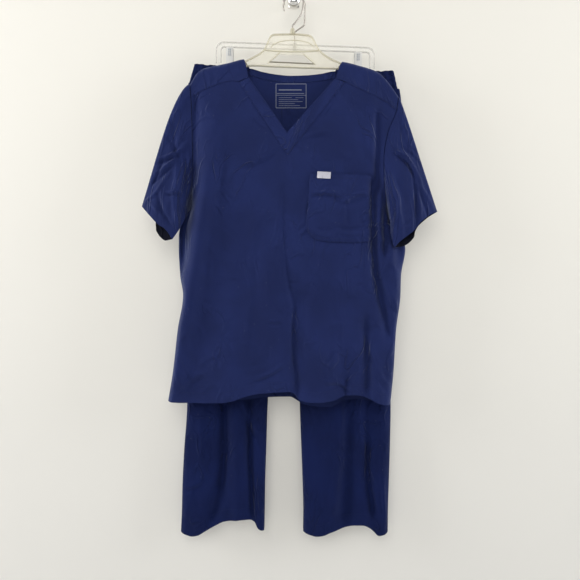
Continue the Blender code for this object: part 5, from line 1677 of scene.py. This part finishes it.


# ---------------------------------------------------------------- trouser hanger and its clips
# A clear plastic bar of web and rims, turned down at both ends, with two pinch clips. Each clip
# is pale grey plastic bent over the waistband, with ribbed jaws and a row of dark patches on a
# pad, painted shade for the recesses there.

HANGER_DEPTH = -27.0
CLIP_BAR = {"left": (-160.0, -127.0), "right": (168.0, -139.5), "end": 13.0, "drop": 42.0, "half": 6.2}
CLIP_MIDDLES = {"clip_left": -147.0, "clip_right": 148.0}
CLIP_WIDE, CLIP_TALL = 16.0, 58.0
JAW = 2.6
JAW_ROOM = 9.8 - JAW + 0.2


def bar_path():
    (x0, z0), (x1, z1) = CLIP_BAR["left"], CLIP_BAR["right"]
    end, drop = CLIP_BAR["end"], CLIP_BAR["drop"]
    turn = np.radians(np.linspace(0, 90, 13))
    left = np.stack([x0 - end * np.cos(turn), z0 - end * (1 - np.sin(turn))], axis=1)
    right = np.stack([x1 + end * np.sin(turn), z1 - end * (1 - np.cos(turn))], axis=1)
    across = np.linspace((x0, z0), (x1, z1), 20)[1:-1]
    return np.concatenate([[(x0 - end, z0 - drop)], left, across, right, [(x1 + end, z1 - drop)]])


clear_web = plastic_material("clear_plastic", (0.93, 0.92, 0.88), (0.88, 0.87, 0.83), 0.2, 0.10)
clear_rim = plastic_material("clear_plastic_rims", (0.74, 0.73, 0.68), (0.60, 0.59, 0.55), 0.25, 0.34)
clip_grey = plastic_material("grey_clip_plastic", (0.88, 0.87, 0.84), (0.78, 0.77, 0.74), 0.35, 0.82)
recess_painted_shade = plastic_material("clip_recess_painted_shade", (0.36, 0.39, 0.42), (0.28, 0.31, 0.34), 0.5, 1.0)

path = bar_path()
half = CLIP_BAR["half"]
bar_pieces = [moulding("bar_web", [strip_outline(path, 2 * half - 1.0)], 1.1, clear_web)]
for k, shift in enumerate((half - 0.8, 0.8 - half)):
    bar_pieces.append(moulding(f"bar_rim_{k}", [strip_outline(path, 1.5, shift)], 3.4, clear_rim))
bpy.ops.mesh.primitive_cylinder_add(vertices=36, radius=0.0048, depth=0.017, location=(0.0025, 0, -0.1330))
boss = bpy.context.object
boss.data.materials.append(clear_rim)
bevelled(0.0006)
bar = joined("clip_hanger_bar", [*bar_pieces, boss], (0, HANGER_DEPTH, 0))
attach(bar, "root")
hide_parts("trouser_hanger")


def small_block(size, place, finish, soft=0.0004):
    """A softened block of a size, in millimetres, at a place."""
    bpy.ops.mesh.primitive_cube_add(size=1.0, location=[part * MM for part in place])
    block = bpy.context.object
    block.scale = [part * MM for part in size]
    bpy.ops.object.transform_apply(location=True, rotation=True, scale=True)
    bevelled(soft)
    block.data.materials.append(finish)
    return block


for name, middle in CLIP_MIDDLES.items():
    (x0, z0), (x1, z1) = CLIP_BAR["left"], CLIP_BAR["right"]
    top = mix(z0, z1, (middle - x0) / (x1 - x0)) - half - 1.0
    outer = JAW_ROOM + JAW
    side = (
        (outer - 4.0, 0.0), (outer - 1.2, -2.6), (outer, -8.0), (outer, -CLIP_TALL),
        (JAW_ROOM, -CLIP_TALL), (JAW_ROOM, -10.0), (JAW_ROOM - 3.0, -5.0),
    )
    outline = side + tuple((-y, z) for y, z in reversed(side))
    jaws = moulding(f"{name}_jaws", [outline], CLIP_WIDE / 2, clip_grey, soft=0.5)
    jaws.data.transform(Matrix.Rotation(np.pi / 2, 4, "Z"))
    parts = [jaws, small_block((8.4, 0.8, 19.0), (0, -outer, -14.0), clip_grey)]
    # The dark patches are painted shade standing for recesses in the pad.
    for row in range(4):
        for column in (-1, 1):
            place = (column * 1.9, -outer - 0.2, -7.6 - row * 4.2)
            parts.append(small_block((2.7, 1.0, 2.9), place, recess_painted_shade, 0.0003))
    for row in range(5):
        place = (0, -outer, -CLIP_TALL + 5 + row * 3.0)
        parts.append(small_block((CLIP_WIDE - 3, 0.9, 1.1), place, clip_grey, 0.0003))
    clip = joined(f"{name}_moulded", parts, (middle, HANGER_DEPTH, top))
    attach(clip, "root")
    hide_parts(name)


# ---------------------------------------------------------------- the hangers' wire hooks
# Plated steel wire, 3.2 mm across, bent to a swan neck and a round bow. Both bows hang on the
# wall hook's upper arm, the trouser hanger's behind the top hanger's.

WIRE = 1.6
HOOK_TOP_Z, BOW_Z, BOW_TURN = -19.0, -44.0, 205.0
TOP_HOOK = ((-2.8, -119.4), (-2.8, -104.5), (-1.8, -100.5), (7.3, -89.7), (16.3, -75.8), (20.5, -61.7))
TOP_BOW = (-0.6, 22.5)
TROUSER_HOOK = (
    (2.5, -28.0, -126.2), (2.5, -28.0, -104.0), (4.0, -28.5, -98.0),
    (22.0, -30.0, -85.5), (24.6, -31.0, -80.0), (25.2, -33.5, -62.0),
)
TROUSER_BOW = (1.0, 25.0, -38.0)


def bow(middle, half_width, y):
    angle = np.radians(np.linspace(0, BOW_TURN, 33))
    tall = HOOK_TOP_Z - BOW_Z
    x, z = middle + half_width * np.cos(angle), BOW_Z + tall * np.sin(angle)
    return np.stack([x, np.full_like(angle, y), z], axis=1)


def rounded_path(points):
    """A smooth curve through a path's points."""
    points = np.asarray(points, float)
    padded = np.concatenate([[2 * points[0] - points[1]], points, [2 * points[-1] - points[-2]]])
    share = np.linspace(0, 1, 8, endpoint=False)[:, None]
    runs = []
    for a, b, c, d in zip(padded, padded[1:], padded[2:], padded[3:]):
        curve = 2 * b + (c - a) * share + (2 * a - 5 * b + 4 * c - d) * share ** 2
        runs.append((curve + (3 * b - a - 3 * c + d) * share ** 3) / 2)
    return np.concatenate([*runs, points[-1:]])


def bent_rod(name, path, radius, finish):
    """A round rod along a path, drawn as a curve and then made a mesh."""
    bpy.ops.curve.primitive_nurbs_path_add(radius=0.01)
    made = bpy.context.object
    line = made.data
    line.splines.clear()
    spline = line.splines.new("POLY")
    spline.points.add(len(path) - 1)
    for point, place in zip(spline.points, path):
        point.co = (*(np.asarray(place) * MM), 1)
    line.dimensions = "3D"
    line.bevel_depth = radius * MM
    line.bevel_resolution = 5
    line.use_fill_caps = True
    made.location = (0, 0, 0)
    meshed(made, finish)
    bpy.ops.object.shade_smooth_by_angle(angle=np.radians(50))
    return joined(name, [made])


def metal_material(name, bright, dull, roughness, marks=260.0):
    """Plated metal: its colour dulls and roughens in patches, with fine drawn marks."""
    made, to, shader = new_material(name)
    place = to.node("ShaderNodeTexCoord").outputs["Object"]
    given = {"Vector": place, "Size": marks, "Amount": 1.6}
    mottle, drawn = to.node("ShaderNodeGroup", given, node_tree=CLOUDED).outputs
    bump = to.node("ShaderNodeBump", {"Height": drawn, "Strength": 0.12, "Distance": 0.0001})
    to.give(shader, {
        "Base Color": to.blend(mottle, (*bright, 1), (*dull, 1)),
        "Roughness": to.remap(mottle, 0.2, 0.8, roughness * 0.7, roughness * 1.5),
        "Normal": bump.outputs[0],
        "Metallic": 1.0,
    })
    return made


plated_wire = metal_material("plated_hook_wire", (0.52, 0.49, 0.45), (0.30, 0.27, 0.24), 0.32)
top_neck = rounded_path([(x, TOP_HANGER_Y, z) for x, z in TOP_HOOK])
trouser_neck = rounded_path(TROUSER_HOOK)
for name, node, neck, around in (
    ("top_hook_wire", "top_hanger_hook", top_neck, bow(*TOP_BOW, TOP_HANGER_Y)),
    ("trouser_hook_wire", "trouser_hanger_hook", trouser_neck, bow(*TROUSER_BOW)),
):
    wire = bent_rod(name, np.concatenate([neck, around]), WIRE, plated_wire)
    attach(wire, "root")
    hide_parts(node)


# ---------------------------------------------------------------- wall hook
# A chromed coat hook: a plate screwed to the wall, an upper arm that turns up to a small ball and
# carries both hangers, and a lower arm with a turned knob.

PLATE = {"wide": 26.0, "tall": 60.0, "thick": 4.0}
ARM = {"z": -24.4, "radius": 3.5, "reach": -73.0, "bend": 9.0, "rise": 19.0, "ball": 5.25}
KNOB = {"y": -85.0, "z": -55.4, "radius": 14.5}
KNOB_PROFILE = (
    # distance along the knob towards the viewer, and radius there
    (-13.6, 3.6), (-12.6, 5.6), (-9.5, 10.8), (-4.5, 13.9), (1.0, 14.5), (5.5, 13.4),
    (8.6, 11.6), (9.0, 10.4), (8.2, 9.4), (9.6, 7.8), (10.6, 5.4), (10.9, 3.6), (10.2, 2.4), (10.6, 0.0),
)
chrome = metal_material("polished_chrome", (0.80, 0.79, 0.78), (0.66, 0.65, 0.64), 0.10, 40.0)
screw_painted_shade = metal_material("screw_slot_painted_shade", (0.16, 0.15, 0.14), (0.10, 0.10, 0.10), 0.4)

plate_size = (PLATE["wide"], PLATE["thick"], PLATE["tall"])
hook_parts = [small_block(plate_size, (0, -PLATE["thick"] / 2, 0), chrome, 0.0011)]
for z in (21.0, -12.0):
    bpy.ops.mesh.primitive_cylinder_add(
        vertices=32, radius=0.0034, depth=0.0012, location=(0, -0.0042, z * MM), rotation=(np.pi / 2, 0, 0),
    )
    head = bpy.context.object
    head.data.materials.append(chrome)
    bevelled(0.0003)
    hook_parts.append(head)
    # Dark blocks on each head: painted shade standing for the screw's slot.
    for slot_size in ((4.6, 0.5, 0.9), (0.9, 0.5, 4.6)):
        hook_parts.append(small_block(slot_size, (0, -4.75, z), screw_painted_shade, 0.0001))

turn = np.radians(np.linspace(0, 90, 9))
bend_y, bend_z = ARM["reach"] - ARM["bend"] * np.sin(turn), ARM["z"] + ARM["bend"] * (1 - np.cos(turn))
tip = (0, ARM["reach"] - ARM["bend"], ARM["z"] + ARM["rise"])
arm = [(0, -2, ARM["z"]), (0, -38, ARM["z"])] + [(0, y, z) for y, z in zip(bend_y, bend_z)] + [tip]
hook_parts.append(bent_rod("upper_arm", arm, ARM["radius"], chrome))
lower = rounded_path(((0, -2, -27.0), (0, -19, -32.0), (0, -40, -39.5), (0, -80, -53.5)))
hook_parts.append(bent_rod("lower_arm", lower, 3.0, chrome))
bpy.ops.mesh.primitive_uv_sphere_add(
    segments=32, ring_count=20, radius=ARM["ball"] * MM, location=[part * MM for part in tip],
)
hook_parts.append(bpy.context.object)
bpy.ops.object.shade_smooth()
hook_parts[-1].data.materials.append(chrome)

bpy.ops.mesh.primitive_circle_add(
    vertices=48, radius=KNOB_PROFILE[0][1] * MM, fill_type="NGON",
    location=(0, (KNOB["y"] - KNOB_PROFILE[0][0]) * MM, KNOB["z"] * MM), rotation=(np.pi / 2, 0, 0),
)
knob = bpy.context.object
bpy.ops.object.transform_apply(location=True, rotation=True, scale=True)
bpy.ops.object.mode_set(mode="EDIT")
bpy.ops.mesh.select_all(action="SELECT")
for (before, radius), (after, next_radius) in zip(KNOB_PROFILE, KNOB_PROFILE[1:]):
    bpy.ops.mesh.extrude_region_move(TRANSFORM_OT_translate={"value": (0, (before - after) * MM, 0)})
    ratio = max(next_radius, 0.02) / radius
    centre = (0, (KNOB["y"] - after) * MM, KNOB["z"] * MM)
    bpy.ops.transform.resize(value=(ratio, 1, ratio), center_override=centre)
bpy.ops.mesh.select_all(action="SELECT")
bpy.ops.mesh.normals_make_consistent(inside=False)
bpy.ops.object.mode_set(mode="OBJECT")
bpy.ops.object.shade_smooth_by_angle(angle=np.radians(50))
knob.data.materials.append(chrome)
hook_parts.append(knob)
coat_hook = joined("coat_hook", hook_parts)
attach(coat_hook, "root")
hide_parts("wall_hook")


# ---------------------------------------------------------------- room, light and camera
# A cream wall and a pale floor, lit from the front and from both sides. The wall's paint also glows
# a little, which keeps the shadows on it faint. The camera stands level with the middle of the set.

VIEWER = (-0.0084, -1.34, -0.694)
SENSOR = 36.0
FOCAL = 568.2 / 580 * SENSOR


def one_way(material):
    """Lets a wall be seen through from behind."""
    nodes = material.node_tree.nodes
    to = Wiring(material.node_tree)
    clear = to.node("ShaderNodeBsdfTransparent").outputs[0]
    behind = to.node("ShaderNodeNewGeometry").outputs["Backfacing"]
    both = to.node("ShaderNodeMixShader", {0: behind, 1: nodes["Principled BSDF"].outputs[0], 2: clear})
    to.give(nodes["Material Output"], {"Surface": both.outputs[0]})


bpy.ops.mesh.primitive_plane_add(size=6.0, location=(0, 0.001, 0.5), rotation=(np.radians(90), 0, 0))
wall = bpy.context.object
wall.name = "wall"
wall_paint = plain_material("cream_wall", (0.62, 0.605, 0.565), 0.9)
paint = Wiring(wall_paint.node_tree)
# The glow is painted light, warm and bright from the hook's height up and greyer towards the floor.
on_wall = paint.node("ShaderNodeSeparateXYZ", {0: paint.node("ShaderNodeTexCoord").outputs["Object"]})
height = paint.remap(on_wall.outputs["Y"], -2.0, -0.5)
glow = paint.blend(height, (0.60, 0.60, 0.60, 1), (0.92, 0.88, 0.77, 1))
painted = wall_paint.node_tree.nodes["Principled BSDF"]
paint.give(painted, {"Emission Color": glow, "Emission Strength": 0.27})
one_way(wall_paint)
wall.data.materials.append(wall_paint)
wall.visible_shadow = False
bpy.ops.mesh.primitive_plane_add(size=8.0, location=(0, 0, -1.46))
floor = bpy.context.object
floor.name = "floor"
floor.data.materials.append(plain_material("pale_floor", (0.72, 0.71, 0.68), 0.8))


LIGHTS = (
    # name, place, height it faces, width and height, watts, colour
    ("front_window", (-0.3, -2.4, 0.5), -0.55, (2.2, 1.6), 33, (1.0, 0.985, 0.95)),
    ("left_window", (-2.3, -0.7, 0.0), -0.55, (0.8, 1.4), 34, (0.97, 0.98, 1.0)),
    ("right_window", (2.3, -0.7, -0.1), -0.55, (0.8, 1.4), 30, (0.95, 0.97, 1.0)),
    ("behind", (0.6, 2.4, 0.6), -0.6, (1.6, 1.6), 6, (1, 1, 1)),
)
for name, place, faces, size, watts, colour in LIGHTS:
    data = bpy.data.lights.new(name, "AREA")
    data.shape = "RECTANGLE"
    data.size, data.size_y = size
    data.energy = watts
    data.color = colour
    lamp = bpy.data.objects.new(name, data)
    lamp.location = place
    way = Vector((0, 0, faces)) - Vector(place)
    lamp.rotation_euler = way.to_track_quat("-Z", "Y").to_euler()
    bpy.context.scene.collection.objects.link(lamp)

world = bpy.data.worlds.new("daylight")
world.use_nodes = True
sky = world.node_tree.nodes["Background"].inputs
sky["Color"].default_value = (0.93, 0.96, 1.0, 1)
sky["Strength"].default_value = 0.20
bpy.context.scene.world = world
bpy.context.scene.view_settings.view_transform = "Standard"

camera_data = bpy.data.cameras.new("camera")
camera_data.lens = FOCAL
camera_data.sensor_width = SENSOR
camera_data.clip_start, camera_data.clip_end = 0.05, 50
camera = bpy.data.objects.new("camera", camera_data)
camera.location = VIEWER
camera.rotation_euler = (np.radians(90), 0, 0)
bpy.context.scene.collection.objects.link(camera)
bpy.context.scene.camera = camera
